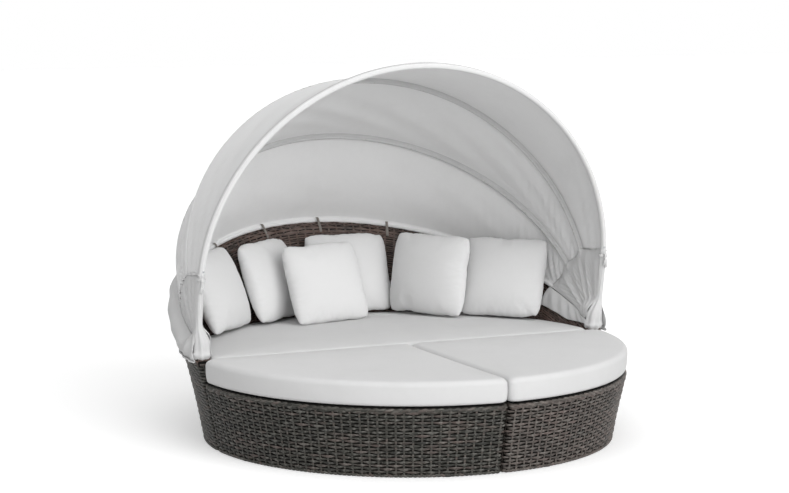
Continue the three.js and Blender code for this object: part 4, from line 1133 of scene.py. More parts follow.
def boxed_cushion(name, runs, straight, radius_at, flip, material, pucker, seed):
    """A boxed cushion: soft top edge, sides that pull in, seams with small gathers and a
    crown with shallow dents."""
    low, high = CUSHION_LOW, CUSHION_LOW + CUSHION_TALL
    seam, side, corner = 0.010, 0.0015, CUSHION_CORNER
    under, under_round, under_rise = 0.013, 0.0105, 0.011
    roll, roll_in, hollow, gather_wide, gather_pitch = 0.027, 0.026, 0.0022, 0.012, 0.026
    draw_in, crown_room, dent_deep, dent_edge = 0.004, 0.0003, 0.0035, 0.2
    spans = run_lengths(runs, radius_at(low), corner)
    count = int(spans.sum() / CUSHION_STEP)
    s = np.linspace(0, spans.sum(), count + 1)[:-1]
    rings = []
    ends = np.concatenate([[0], np.cumsum(spans)])
    drawn = 0.0
    for k in straight:
        drawn = drawn + draw_in * np.sin(np.pi * np.clip((s - ends[k]) / spans[k], 0, 1)) ** 0.7

    def ring(inset, z):
        radius = radius_at(np.clip(z, low, high)) - inset
        x, y, nx, ny = on_outline(runs, spans, s, radius, side + inset, corner, flip)
        return np.stack([x - nx * drawn, y - ny * drawn, np.broadcast_to(z, x.shape)], -1)

    def gather(z, edge):
        close = np.exp(-((z - edge) / gather_wide) ** 2)
        return pucker * close * (0.5 + 0.5 * ripple(s, gather_pitch, seed))

    bottom = ring(under, low)
    centre = bottom.mean(0)
    for share in (0.0, 0.3, 0.6, 0.85):
        rings.append(centre + (bottom - centre) * share)
    rings.append(bottom)
    for turn in (30, 55, 75):
        a = math.radians(turn)
        rings.append(ring(under - under_round * math.sin(a), low + under_rise * (1 - math.cos(a))))
    for up in np.linspace(seam, CUSHION_TALL - roll, 12):
        share = (up - seam) / (CUSHION_TALL - roll - seam)
        z = low + up
        inset = hollow * (1 - math.sin(math.pi * (0.12 + 0.7 * share))) + gather(z, low + seam)
        rings.append(ring(inset, z))
    last = hollow * (1 - math.sin(math.pi * 0.82))
    for turn in np.linspace(10, 86, 9):
        a = math.radians(turn)
        inset = last + roll_in * (1 - math.cos(a))
        rings.append(ring(inset, high - roll + (roll - ROLL_ROOM) * math.sin(a)))
    rim = rings[-1]
    middle = rim.mean(0)
    dents = np.random.default_rng(seed)
    waves = [(dents.normal(0, 1, 2) * 5.5, dents.uniform(0, ROUND)) for _ in range(7)]
    for share in np.concatenate([np.linspace(0.985, 0.1, 46), [0.03, 0.0]]):
        points = middle + (rim - middle) * share
        up = 1 - share ** 4
        dent = sum(np.sin(points[:, 0] * w[0] + points[:, 1] * w[1] + p) for w, p in waves) / 7
        edge = min(1, (1 - share) / dent_edge)
        points[:, 2] = high - crown_room + CROWN * up - dent_deep * edge * (0.5 + 0.5 * dent)
        rings.append(points)
    grid = np.stack(rings)
    patches = Patches()
    down = lengths(grid[:, 0])
    patches.add(grid, plain_uv(np.concatenate([s, [spans.sum()]]), down), close_columns=True)
    return patches.build(name, material, closed=True)


class DAYBED_OT_cushions(bpy.types.Operator):
    """Makes the boxed seat and ottoman cushions"""

    bl_idname = "daybed.cushions"
    bl_label = "Cushions"

    def execute(self, context):
        looks = context.scene.daybed_cushions
        cloth = cloth_finish("cushion_weave", looks.colour)
        def seat_radius(z):
            return np.minimum(shell(z) - WALL - SEAT_ROOM, SEAT_WIDEST)
        def ottoman_radius(z):
            return shell(SEAT) + (shell(z) - shell(SEAT)) / 4
        made = (
            ("seat_cushion_soft", half_runs, (), seat_radius, 1, "seat", "seat_cushion", 31),
            ("ottoman_right_cushion_soft", quarter_runs, (1, 4), ottoman_radius, 1,
             "ottoman_right_seat", "ottoman_right_cushion", 32),
            ("ottoman_left_cushion_soft", quarter_runs, (1, 4), ottoman_radius, -1,
             "ottoman_left_seat", "ottoman_left_cushion", 33),
        )
        for name, runs, straight, radius, flip, body, node, seed in made:
            piece = boxed_cushion(name, runs, straight, radius, flip, cloth, looks.pucker, seed)
            settle(piece, body, [node])
        return {"FINISHED"}


def pillow_form(pressure, seed, looseness, quick):
    """A pillow sewn from two squares and filled by a cloth simulation. Returns the points of
    both faces, in shares of the half width, half depth and half height."""
    cells, cut, round_off, first_bulge, unevenness = 44, 1.12, 0.27, 0.020, 0.0006
    at = np.linspace(-1, 1, cells + 1)
    u, v = np.meshgrid(at, at)
    x = PILLOW_WIDE / 2 * cut * u * np.sqrt(1 - round_off * v ** 4)
    z = PILLOW_TALL / 2 * cut * v * np.sqrt(1 - round_off * u ** 4)
    bulge = first_bulge * ((1 - u ** 2) * (1 - v ** 2)) ** 0.5
    uneven = np.random.default_rng(seed).normal(0, unevenness, u.shape)
    index = np.arange((cells + 1) ** 2).reshape(cells + 1, cells + 1)
    front = np.stack([x, -bulge + uneven, z], -1).reshape(-1, 3)
    back = np.stack([x, bulge + uneven, z], -1).reshape(-1, 3)
    edge = (np.abs(u) == 1) | (np.abs(v) == 1)
    inner = ~edge.ravel()
    remap = np.arange(len(front))
    remap[inner] = len(front) + np.arange(inner.sum())
    points = np.concatenate([front, back[inner]])
    first = corners(index).reshape(-1, 4)
    second = remap[first][:, ::-1]
    quads = np.concatenate([first, second])
    if not quick:
        points = inflate(points, quads, pressure)
    points = points - (points.max(0) + points.min(0)) / 2
    points = points / np.abs(points).max(0)
    near = 1 - np.maximum(np.abs(u), np.abs(v))
    along = np.where(np.abs(u) > np.abs(v), v + 5 * np.sign(u), u + 9 * np.sign(v))
    crease = (0.5 + 0.5 * ripple(0.2 * along + 0.05 * near, 0.026, seed)) * np.exp(-near / 0.11)
    notch = (0.5 + 0.5 * ripple(0.2 * along, 0.031, seed + 9)) * np.exp(-near / 0.05)
    full = ((1 - u ** 2) * (1 - v ** 2)) ** 0.40 * (1 - 0.34 * crease)

    def drawn_in(near_side, far_side):
        """One direction of the plain form: rounded corners, hollow sides and gathered edges."""
        rounded = near_side * np.sqrt(1 - 0.13 * far_side ** 6) * (1 - 0.020 * (1 - far_side ** 2))
        return rounded * (1 - 0.026 * notch * np.abs(near_side))

    front = np.stack([drawn_in(u, v), -full, drawn_in(v, u)], -1).reshape(-1, 3)
    plain = np.concatenate([front, front[inner] * (1, -1, 1)])
    points = points * looseness + plain * (1 - looseness)
    flat = np.stack([x.ravel(), z.ravel()], -1)
    return points, quads, np.concatenate([flat, flat[inner]])


def inflate(points, quads, pressure):
    """Fills a closed sewn form with Blender's cloth and returns its settled points."""
    mesh = bpy.data.meshes.new("filling")
    mesh.from_pydata(points, [], quads.tolist())
    form = bpy.data.objects.new("filling", mesh)
    scene = bpy.context.scene
    scene.collection.objects.link(form)
    cloth = form.modifiers.new("Cloth", "CLOTH")
    settings = cloth.settings
    settings.quality = 6
    settings.mass = 0.25
    settings.tension_stiffness = settings.compression_stiffness = 22
    settings.shear_stiffness = 9
    settings.bending_stiffness = 0.12
    settings.air_damping = 3
    settings.use_pressure = True
    settings.uniform_pressure_force = pressure
    settings.effector_weights.gravity = 0
    cloth.collision_settings.use_collision = False
    cloth.point_cache.frame_start, cloth.point_cache.frame_end = 1, FILL_STEPS
    for step in range(1, FILL_STEPS + 1):
        scene.frame_set(step)
    evaluated = form.evaluated_get(bpy.context.evaluated_depsgraph_get())
    settled = np.empty(len(points) * 3, np.float32)
    evaluated.data.vertices.foreach_get("co", settled)
    bpy.data.objects.remove(form)
    bpy.data.meshes.remove(mesh)
    scene.frame_set(1)
    return settled.reshape(-1, 3).astype(float)


def stance(turn, lean):
    """How a pillow stands: leant back, then turned about the upright."""
    a, b = math.radians(turn), -math.radians(lean)
    spin = np.array([[math.cos(a), -math.sin(a), 0], [math.sin(a), math.cos(a), 0], [0, 0, 1]])
    tilt = np.array([[1, 0, 0], [0, math.cos(b), -math.sin(b)], [0, math.sin(b), math.cos(b)]])
    return spin @ tilt


class DAYBED_OT_pillows(bpy.types.Operator):
    """Fills and places the six loose pillows"""

    bl_idname = "daybed.pillows"
    bl_label = "Loose pillows"

    def execute(self, context):
        looks = context.scene.daybed_cushions
        cloth = cloth_finish("pillow_cloth", looks.pillow_colour, mottle=0.03, grime=0.02)
        forms = [pillow_form(looks.plumpness * k, seed, looks.looseness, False)
                 for k, seed in ((1.0, 3), (1.25, 8))]
        for count, (name, placing) in enumerate(PILLOWS.items()):
            points, quads, uv = forms[count % 2]
            self.place(name, points.copy(), quads, uv, cloth, *placing)
        return {"FINISHED"}

    def place(self, name, points, quads, uv, cloth, round_at, turn, lean, more, flips):
        """Fits a filled form to the frame's own pillow, then turns, leans and moves it."""
        turned = stance(round_at - 90 + turn, lean)
        solid = np.array([v.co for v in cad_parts[name].data.vertices]) @ turned
        low, high = solid.min(0), solid.max(0)
        half = (high - low) / 2
        points[:, 0] *= flips[0]
        points[:, 2] *= flips[1]
        if flips[0] * flips[1] < 0:
            quads = quads[:, ::-1]
        points = points * (half - PILLOW_SLACK)
        points[:, 1] = np.sign(points[:, 1]) * np.minimum(np.abs(points[:, 1]), self.depth(points, half))
        centre = turned @ ((low + high) / 2) - (0, 0, PILLOW_SINK)
        posed = stance(round_at - 90 + turn + more[0], lean + more[1])
        world = points @ posed.T + centre - posed[:, 1] * more[2]
        world[:, 2] += (points @ turned.T + centre)[:, 2].min() - world[:, 2].min()
        piece = mesh_piece(name + "_soft", world, quads, uv[quads.ravel()], cloth)
        smooth = piece.modifiers.new("Subdivision", "SUBSURF")
        smooth.levels = smooth.render_levels = 1
        piece.data.shade_smooth()
        settle(piece, "seat", [name])

    def depth(self, points, half):
        """How deep the frame's own pillow is at each point, so that neighbours stay clear."""
        u = np.clip(points[:, 0] / half[0], -1, 1)
        v = np.clip(points[:, 2] / half[2], -1, 1)
        full = np.maximum((1 - u ** 2) * (1 - v ** 2), 0) ** 0.42
        return PILLOW_EDGE + (half[1] - PILLOW_EDGE) * full


# The canopy


def at_pivot(angle, x, along, forward):
    """Points in a bow's own plane, given by its angle from +Y about the pivots."""
    turn = np.radians(angle)
    x, along, forward = np.broadcast_arrays(x, along, forward)
    return np.stack([
        x,
        PIVOT.y + along * np.cos(turn) - forward * np.sin(turn),
        PIVOT.z + along * np.sin(turn) + forward * np.cos(turn)], -1)


def bow_size(bow):
    """A bow's angle, reach, straight leg, half width and body."""
    angle, reach, leg, step, body = BOWS[bow]
    return angle, reach, leg, PIVOT.x + step * BOW_PITCH, body


def body_of(bow):
    """The body that a bow rides on."""
    return BOWS[bow][4]


def over_bow(bow, at, lift, forward=0.0):
    """Points over a bow: at runs from 0 at the right hem to 1 at the left hem."""
    angle, reach, leg, half, _ = bow_size(bow)
    rise = reach - leg + lift
    start = np.arcsin((HEM_REACH - leg) / rise)
    turn = start + (np.pi - 2 * start) * at
    return at_pivot(angle, (half + lift) * np.cos(turn), leg + rise * np.sin(turn), forward)


def away_from_pivot(points):
    """Directions from the pivot line outwards."""
    way = points - np.array([0, PIVOT.y, PIVOT.z])
    way[..., 0] = points[..., 0]
    return way / np.linalg.norm(way, axis=-1, keepdims=True)


class DAYBED_OT_canopy(bpy.types.Operator):
    """Stretches the canopy's three gores over the bows, with sleeves and hem piping"""

    bl_idname = "daybed.canopy"
    bl_label = "Canopy"

    over_seam, half_gap, front_lap, rear_lap, tube_side = 0.0014, 0.0004, 0.010, 0.002, 0.011
    hem_out, piping_radius, trim_thickness = 0.0016, 0.0032, 0.0008
    pucker_deep, pucker_pitch = 0.0013, 0.034
    drag_deep, drag_pitch, drag_reach = (0.004, 0.0085, 0.0085), 0.058, 0.42
    slack_deep, slack_pitch = (0.0022, 0.0040, 0.0010), 0.36

    def execute(self, context):
        looks = context.scene.daybed_canopy
        cloth = cloth_finish("canopy_weave", looks.colour, 0.05, 0.05)
        # Painted shade: the sleeves are a darker copy of the canopy cloth, standing in for the shade in the
        # pockets
        sleeve = cloth_finish("shaded_sleeve_cloth", [c * 0.72 for c in looks.colour])
        # Painted shade: the binding and hem piping are a darker copy of the canopy cloth, toning down the
        # light they catch
        shaded_edging = cloth_finish("shaded_edging", [c * 0.84 for c in looks.colour], 0.03, 0.02)
        for k, gore in enumerate(GORES):
            self.gore(looks, cloth, shaded_edging, k, *gore)
        self.binding(shaded_edging, "bow_front")
        for bow in BOW_ORDER[1:]:
            self.sleeve(cloth if bow == "bow_rear" else sleeve, bow)
        for bow in BOW_ORDER[1:3]:
            self.seam(cloth, bow)
        return {"FINISHED"}

    def gore(self, looks, cloth, shaded_edging, k, name, front, back):
        """One gore of cloth between two bows, with piping along both of its hems."""
        at = np.linspace(0, 1, 181)
        lift = CLOTH_LIFT + self.over_seam
        a = over_bow(front, at, lift, self.front_lap if k == 0 else -self.half_gap)
        b = over_bow(back, at, lift, self.half_gap if k < 2 else self.rear_lap)
        a_in = over_bow(front, at, lift, -self.tube_side)
        b_in = over_bow(back, at, lift, self.tube_side)
        share = np.linspace(0, 1, 34)[:, None, None]
        between = a_in[None] * (1 - share) + b_in[None] * share
        out = away_from_pivot(between)
        full = np.sin(np.pi * share) * np.sin(np.pi * at)[None, :, None]
        between = between - out * looks.sag * full
        between = between + out * self.wrinkles(at, share[..., 0], k)[..., None]
        first = [a[None], (a * 0.5 + a_in * 0.5)[None]]
        last = [(b * 0.5 + b_in * 0.5)[None], b[None]]
        grid = np.concatenate(first + [between] + last)
        piece = cloth_piece(
            f"canopy_gore_{name}_cloth", grid, looks.cloth_thickness, away_from_pivot(grid), cloth)
        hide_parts(f"canopy_gore_{name}")
        cut_of(grid)
        self.blend_between(piece, front, back)
        for side, column in (("right", 0), ("left", -1)):
            hem = grid[:, column] + away_from_pivot(grid[:, column]) * self.hem_out
            piping = soft_tube(f"{side}_hem_piping_{name}", hem, self.piping_radius, shaded_edging)
            self.blend_between(piping, front, back)

    def blend_between(self, piece, front, back):
        """Bakes a canopy piece's transform into its points; it follows neither of the bows that hold it."""
        a = Vector(over_bow(front, 0.5, 0.0))
        b = Vector(over_bow(back, 0.5, 0.0))
        body_of(front)
        body_of(back)
        tuple(a.lerp(b, BLEND_FROM))
        tuple(a.lerp(b, BLEND_TO))
        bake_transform(piece)

    def wrinkles(self, at, share, k):
        """Small gathers beside the sleeves, drag lines above the hems and slack between bows."""
        run = at[None, :] * ARCH
        beside = np.exp(-share / 0.07) + np.exp(-(1 - share) / 0.07)
        puckers = self.pucker_deep * beside * ripple(run, self.pucker_pitch, 40 + k)
        down = np.minimum(at, 1 - at)[None, :] * ARCH
        near = np.exp(-(down / self.drag_reach) ** 2)
        slant = self.drag_deep[k] * near * ripple(down + share * 0.20, self.drag_pitch, 50 + k, 0.10)
        slack = self.slack_deep[k] * ripple(run * 0.8 + share * 0.9, self.slack_pitch, 60 + k, 0.2)
        return puckers + (slant + slack) * np.sin(np.pi * share) ** 0.7

    def sleeve(self, material, bow):
        """A sewn pocket under the tube, with a flat seam allowance stitched on either side."""
        at, pucker = self.gathered(bow, 0.0005, 0.021)
        snug, stitch_level, edge_level, stitch, edge = 0.0011, 0.0086, 0.0084, 0.0128, 0.0165
        turn = np.radians(np.linspace(68, 292, 15))[None, :]
        radius = TUBE + snug + pucker
        under, forward = radius * np.cos(turn), radius * np.sin(turn)
        flange = stitch_level + pucker * 0.4
        lift = np.hstack([edge_level + 0 * at, flange, under, flange, edge_level + 0 * at])
        forward = np.hstack([edge + 0 * at, stitch + pucker, forward, -stitch - pucker, -edge + 0 * at])
        self.wrapped(f"{bow}_sleeve", material, bow, at, lift, forward)

    def binding(self, material, bow):
        """The bound front edge: a strip folded round the cloth and the front tube."""
        at, pucker = self.gathered(bow, 0.0006, 0.019)
        above, under, ahead, behind, lap = 0.0142, 0.0098, 0.0158, 0.0125, 0.0115
        turn = np.radians(np.linspace(96, -150, 19))[None, :]
        lift = np.where(np.sin(turn) > 0, above, under) * np.sin(turn) + pucker * (np.cos(turn) < 0)
        forward = np.where(np.cos(turn) > 0, ahead, behind) * np.cos(turn) + pucker
        lift = np.hstack([above + 0 * at, lift + 0 * at])
        forward = np.hstack([-lap + pucker, forward])
        self.wrapped(f"{bow}_binding", material, bow, at, lift, forward)

    def seam(self, material, bow):
        """The folded seam over a bow where two gores meet, stitched down on both sides."""
        at, pucker = self.gathered(bow, 0.0005, 0.024, 5)
        level, crown, half = 0.0131, 0.0012, 0.0115
        across = np.linspace(-1, 1, 9)[None, :]
        lift = level + crown * (1 - across ** 4) + pucker * (1 - across ** 2)
        self.wrapped(f"{bow}_seam", material, bow, at, lift, half * across + pucker)

    def gathered(self, bow, deep, pitch, more=0):
        """Places over a bow from hem to hem and the depth of small gathers at each."""
        at = np.linspace(0, 1, 401)[:, None]
        return at, deep * ripple(at * ARCH, pitch, hash_of(bow) + more)

    def wrapped(self, name, material, bow, at, lift, forward):
        grid = over_bow(bow, at + 0 * lift, lift, forward)
        middle = over_bow(bow, at + 0 * lift, 0.0 * lift, 0.0)
        piece = cloth_piece(name, grid, self.trim_thickness, grid - middle, material)
        settle(piece, body_of(bow))
        cut_of(grid)


def hash_of(name):
    """A small steady number from a name."""
    return sum(ord(c) * (i + 1) for i, c in enumerate(name))


def soft_tube(name, path, radius, material):
    """A round soft edge that follows a line of points."""
    tangent = np.gradient(path, axis=0)
    tangent /= np.linalg.norm(tangent, axis=1, keepdims=True)
    guide = np.array([0.0, 0.0, 1.0])
    side = np.cross(tangent, guide)
    side /= np.maximum(np.linalg.norm(side, axis=1, keepdims=True), 1e-9)
    up = np.cross(side, tangent)
    around = np.linspace(0, 2 * np.pi, TUBE_SIDES + 1)[:-1]
    rings = path[:, None] + radius * (
        side[:, None] * np.cos(around)[None, :, None] + up[:, None] * np.sin(around)[None, :, None])
    run = lengths(path)
    run = np.concatenate([run[:1], run, run[-1:]])
    patches = Patches()
    turns = np.concatenate([around, [2 * np.pi]]) * radius
    patches.add(capped(rings), plain_uv(turns, run), close_columns=True)
    return patches.build(name, material, closed=True)


def leg_line(bow, along, gap):
    """How far out a bow's tube stands at distances from the pivot, with a gap beside it."""
    _, reach, leg, half, _ = bow_size(bow)
    rise = np.maximum(along - leg, 0) / (reach - leg + gap)
    return (half + gap) * np.sqrt(1 - rise ** 2)


def on_round(y, z, gap):
    """Points on the round wall at distances behind its centre, this far out from its face."""
    radius = shell(z) + gap
    return np.stack([np.sqrt(radius ** 2 - y ** 2), y + CENTRE_Y, z], -1)


def by_bracket(along):
    """How fully an inner cloth keeps clear of the pivot bracket, from 0 to 1."""
    return ease(np.clip((BRACKET_END - along) / BRACKET_EASE, 0, 1))


def curve_between(first, control, last, share):
    """Rows of points on curves that start at one line, lean to a second and end at a third."""
    share = share[:, None, None]
    return first * (1 - share) ** 2 + control * 2 * share * (1 - share) + last * share ** 2


class DAYBED_OT_skirts(bpy.types.Operator):
    """Gathers the side skirts between the bow legs and drapes the pivots"""

    bl_idname = "daybed.skirts"
    bl_label = "Side skirts"

    front_lap, half_gap, skirt_lap, skirt_hem, lining_hem = 0.008, 0.0006, 0.0040, 0.003, 0.013
    scallop, lining_inner, lining_bulge, lining_in, lining_at_bracket = 0.010, 0.014, 0.0180, 0.0103, 0.8975
    skirt_out, hem_tuck, lap_out, fine_deep, drag_deep = 0.0012, 0.0019, 0.0018, 0.0007, 0.005
    blend_reach, wrap_thickness, tape_thickness = 0.2, 0.0011, 0.0010
    knot_reach, tail_reach, stud_reach, stud_out = 0.300, 0.296, 0.338, 0.0166

    def execute(self, context):
        looks = context.scene.daybed_canopy
        # Painted shade: the skirts, linings, drapes, flaps, leg wraps and ties are a darker copy of the
        # canopy cloth, standing in for the shade low on the sides
        cloth = cloth_finish("skirt_cloth", [c * 0.76 for c in looks.colour])
        zinc = zinc_finish()
        for flip, word in ((1, "right"), (-1, "left")):
            for k, (name, *bows) in enumerate(GORES):
                self.strip(looks, cloth, flip, f"{word}_skirt_{name}", k, *bows, False)
                self.strip(looks, cloth, flip, f"{word}_lining_{name}", k, *bows, True)
            self.drape(looks, cloth, flip, word)
            self.flap(looks, cloth, flip, word)
            self.leg_wrap(cloth, flip, word)
            self.tie(cloth, flip, word)
            self.snap(zinc, flip, word)
        return {"FINISHED"}

    def strip(self, looks, cloth, flip, name, k, front, back, inside):
        """One strip of skirt between two bow legs, or of the lining on their inner side."""
        share = np.linspace(0, 1, 61)[None, :]
        down = np.linspace(0, 1, 31)[:, None]
        a_angle, b_angle = bow_size(front)[0], bow_size(back)[0]
        hem = HEM_REACH + (self.lining_hem if inside else self.skirt_hem)
        a = at_pivot(a_angle, 0.0, hem, self.front_lap if k == 0 else -self.half_gap)
        b = at_pivot(b_angle, 0.0, hem, self.half_gap if inside else -self.skirt_lap)
        chord = a + (b - a) * share[..., None]
        scallop = self.scallop * np.sin(np.pi * share) if inside else 0 * share
        turns = [math.atan2(p[2] - PIVOT.z, p[1] - PIVOT.y) for p in (a, b)]
        turn = turns[0] + (turns[1] - turns[0]) * share
        inner = self.lining_inner if inside else SKIRT_INNER
        arc_points = np.stack([0 * turn, PIVOT.y + inner * np.cos(turn), PIVOT.z + inner * np.sin(turn)], -1)
        toward = down + scallop * (1 - down) * 3
        points = chord * (1 - toward[..., None]) + arc_points * toward[..., None]
        along = np.hypot(points[..., 1] - PIVOT.y, points[..., 2] - PIVOT.z)
        if inside:
            bulge = self.lining_bulge * np.sin(np.pi * share) ** 0.5 * np.exp(-((down / 0.10) ** 2))
            gap = bulge - self.lining_in
        else:
            tuck = self.hem_tuck * np.clip(1 - down * 12, 0, 1)
            gap = CLOTH_LIFT + self.skirt_out - tuck + self.lap_out * share ** 6
        x = leg_line(front, along, gap) * (1 - share) + leg_line(back, along, gap) * share
        if inside:
            x = x + (self.lining_at_bracket - x) * by_bracket(along)
        taper = np.sin(np.pi * (0.06 + 0.90 * down)) ** 0.8
        seed = hash_of(name)
        gathers = 2.0 if inside else looks.gathers - 1
        drawn = share + 0.05 * np.sin(3 * down + seed)
        phase = np.pi * gathers * drawn + 0.7 * np.sin(2 * down + 2.1 * k)
        deep = looks.gather_depth * (0.75 + 0.25 * np.sin(5.1 * share + seed)) * (0.7 if inside else 1)
        fold = deep * taper * (1 - np.abs(np.cos(phase))) * np.sin(np.pi * share) ** 0.4
        fine = self.fine_deep * ripple(share + 0.1 * down, 0.06, seed) * taper
        drag = self.drag_deep * np.sin(np.pi * share) * ripple(down + share * 0.8, 0.31, seed + 1) * taper
        points[..., 0] = (x + (fold + fine + np.abs(drag)) * (-1 if inside else 1)) * flip
        piece = cloth_piece(f"{name}_cloth", points, looks.cloth_thickness, sideways(points, flip), cloth)
        if not inside:
            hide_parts(name)
        cut_of(points)
        start = at_pivot(a_angle, bow_size(front)[3] * flip, self.blend_reach, 0.0)
        end = at_pivot(b_angle, bow_size(back)[3] * flip, self.blend_reach, 0.0)
        body_of(front)
        body_of(back)
        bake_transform(piece)

    def drape(self, looks, cloth, flip, word):
        """Cloth that falls from the skirts and the rear bow over the outside of the rim."""
        start_out, length, round_leg, over_tube, over_skirt = 0.010, 0.71, 0.0305, 0.0148, 0.0045
        from_y, run_y, arm_hem, under_rim_line = 0.002, 0.80, 0.386, 0.030
        control_over, hem_off, least_bulge, more_bulge = 0.014, 0.0125, 0.016, 0.050
        fine_deep, curl_size, widest = 0.0016, 0.0065, 0.97
        t = np.linspace(0, 1, 181)
        around = np.clip(t / 0.30, 0, 1)
        beyond = np.clip((t - 0.30) / 0.70, 0, 1)
        turn = np.radians(101.5 - 77.5 * around - 2.5 * beyond)
        reach = SKIRT_INNER + start_out + length * beyond
        out = round_leg * (1 - ease(around))
        x = leg_line("bow_rear", reach, over_tube) + over_skirt * np.sqrt(beyond) + out
        top = np.stack([x, PIVOT.y + reach * np.cos(turn), PIVOT.z + reach * np.sin(turn)], -1)
        y = from_y + run_y * t ** 1.25
        rim = ARM_HEIGHT + RIM_SLOPE * y
        rise = np.clip((t - 0.60) / 0.40, 0, 1) ** 1.5
        hem = arm_hem + (rim - under_rim_line - arm_hem) * rise
        bulge = least_bulge + more_bulge * np.sin(np.pi * np.clip(t / 0.9, 0, 1) * 0.5) * (1 - 0.7 * rise)
        rows = curve_between(top[None], on_round(y, rim + control_over, bulge)[None],
                             on_round(y, hem, hem_off)[None], np.linspace(0, 1, 30))
        down = np.linspace(0, 1, 30)[:, None]
        fold = looks.gather_depth * (0.65 + 0.35 * np.sin(7 * t + 1.0)) * (1 - np.abs(np.cos(
            np.pi * looks.gathers * 1.6 * (t + 0.05 * np.sin(4 * down)) + 0.9 * down)))
        rows[..., 0] += (fold + np.abs(fine_deep * ripple(t + 0.1 * down, 0.04, 91))) * np.sin(
            np.pi * (0.04 + 0.80 * down)) ** 0.8
        way = np.stack([np.sqrt(1 - (y / widest) ** 2), y / widest, 0 * y], -1)
        size = (curl_size * (1 - 0.75 * t))[:, None]
        for a in np.radians((40, 80, 120, 165, 210)):
            curl = rows[29] + way * size * (1 - math.cos(a))
            curl[:, 2] -= size[:, 0] * math.sin(a)
            rows = np.concatenate([rows, curl[None]])
        rows[..., 0] *= flip
        piece = cloth_piece(f"{word}_boot_cloth", rows, looks.cloth_thickness, sideways(rows, flip), cloth)
        settle(piece, "sofa", [f"{word}_boot"])
        cut_of(rows)

    def flap(self, looks, cloth, flip, word):
        """The loose corner inside: it falls from the rear bow over the rim's inner edge."""
        begin, length, inside_tube, at_bracket, drop = 0.006, 0.326, 0.0105, 0.8955, 0.004
        from_y, run_y, low_hem, hem_rise = 0.006, 0.344, 0.4135, 0.047
        control_over, control_off, hem_off, fold_deep, fine_deep = 0.006, 0.012, 0.0115, 0.006, 0.0016
        t = np.linspace(0, 1, 61)
        along = begin + length * t
        turn = math.radians(REAR_ANGLE)
        near = by_bracket(along)
        x = leg_line("bow_rear", along, -inside_tube) * (1 - near) + at_bracket * near
        height = PIVOT.z + along * math.sin(turn) - drop * t
        top = np.stack([x, PIVOT.y + along * math.cos(turn), height], -1)
        y = from_y + run_y * t
        rim = ARM_HEIGHT + RIM_SLOPE * y
        low = low_hem + hem_rise * np.clip((t - 0.50) / 0.50, 0, 1)
        rows = curve_between(top[None], on_round(y, rim + control_over, -WALL - control_off)[None],
                             on_round(y, low, -WALL - hem_off)[None], np.linspace(0, 1, 24))
        down = np.linspace(0, 1, 24)[:, None]
        fold = fold_deep * np.sin(np.pi * 5 * t + 1.6 * down) ** 2 * np.clip(t * 6, 0, 1)
        fold = fold + np.abs(fine_deep * ripple(t + 0 * down, 0.07, 93))
        rows[..., 0] -= fold * np.sin(np.pi * (0.03 + 0.85 * down))
        rows[..., 0] *= flip
        piece = cloth_piece(f"{word}_inner_flap", rows, looks.cloth_thickness, sideways(rows, -flip), cloth)
        settle(piece, "sofa")
        cut_of(rows)

    def leg_wrap(self, cloth, flip, word):
        """The front edge, folded round the front bow's leg and gathered over the bracket."""
        rows, tucks, drops = 56, [0.96, 0.85, 0.66, 0.42], [0.003, 0.0055, 0.007, 0.0076]
        begin, length, beside_leg, flare_from, flare_over = 0.324, 0.358, 0.0006, 0.120, 0.105
        half_side, half_front, flare_side, flare_front = 0.0132, 0.0150, 0.0215, 0.0150
        fold_deep, fine_deep, bunch_deep, bunch_at, bunch_wide = 0.0026, 0.0009, 0.0055, 0.020, 0.010
        down = np.concatenate([np.linspace(0, 1, rows), np.ones(len(tucks))])[:, None]
        tuck = np.concatenate([np.ones(rows), tucks])[:, None]
        drop = np.concatenate([np.zeros(rows), drops])[:, None]
        along = begin - length * down - drop
        wide = ease(np.clip((flare_from - along) / flare_over, 0, 1))
        turn = np.radians(np.linspace(-128, 128, 33))[None, :] * (1 + 0.17 * wide)
        fold = fold_deep * np.cos(6.5 * turn + 5 * down) * (0.25 + wide)
        fold = fold + fine_deep * np.sin(11 * turn + 13 * down)
        fold = fold + bunch_deep * np.exp(-((along + bunch_at) / bunch_wide) ** 2)
        side = (half_side + flare_side * wide + fold) * tuck * np.sin(turn)
        front = (half_front + flare_front * wide + fold) * tuck * np.cos(turn)
        middle = leg_line("bow_front", along, beside_leg) * (1 - wide) + PIVOT.x * wide
        grid = at_pivot(FRONT_ANGLE, (middle + side) * flip, along + 0 * side, front)
        centre = at_pivot(FRONT_ANGLE, middle * flip + 0 * side, along + 0 * side, 0.0)
        piece = cloth_piece(f"{word}_leg_wrap", grid, self.wrap_thickness, grid - centre, cloth)
        settle(piece, "bow_front")
        cut_of(grid)

    def tie(self, cloth, flip, word):
        """A tape knotted round the wrap, just under the hem, with two short tails."""
        patches = Patches()
        half = leg_line("bow_front", self.knot_reach, 0.0)

        def strip(side, along, front):
            grid = at_pivot(FRONT_ANGLE, (half + side) * flip, along, front)
            centre = at_pivot(FRONT_ANGLE, half * flip + 0 * side, along, 0.0 * side)
            thick_cloth(patches, grid, self.tape_thickness, grid - centre)
            rows = lengths(grid[:, grid.shape[1] // 2])[-1]
            return rows * lengths(grid[grid.shape[0] // 2])[-1], rows

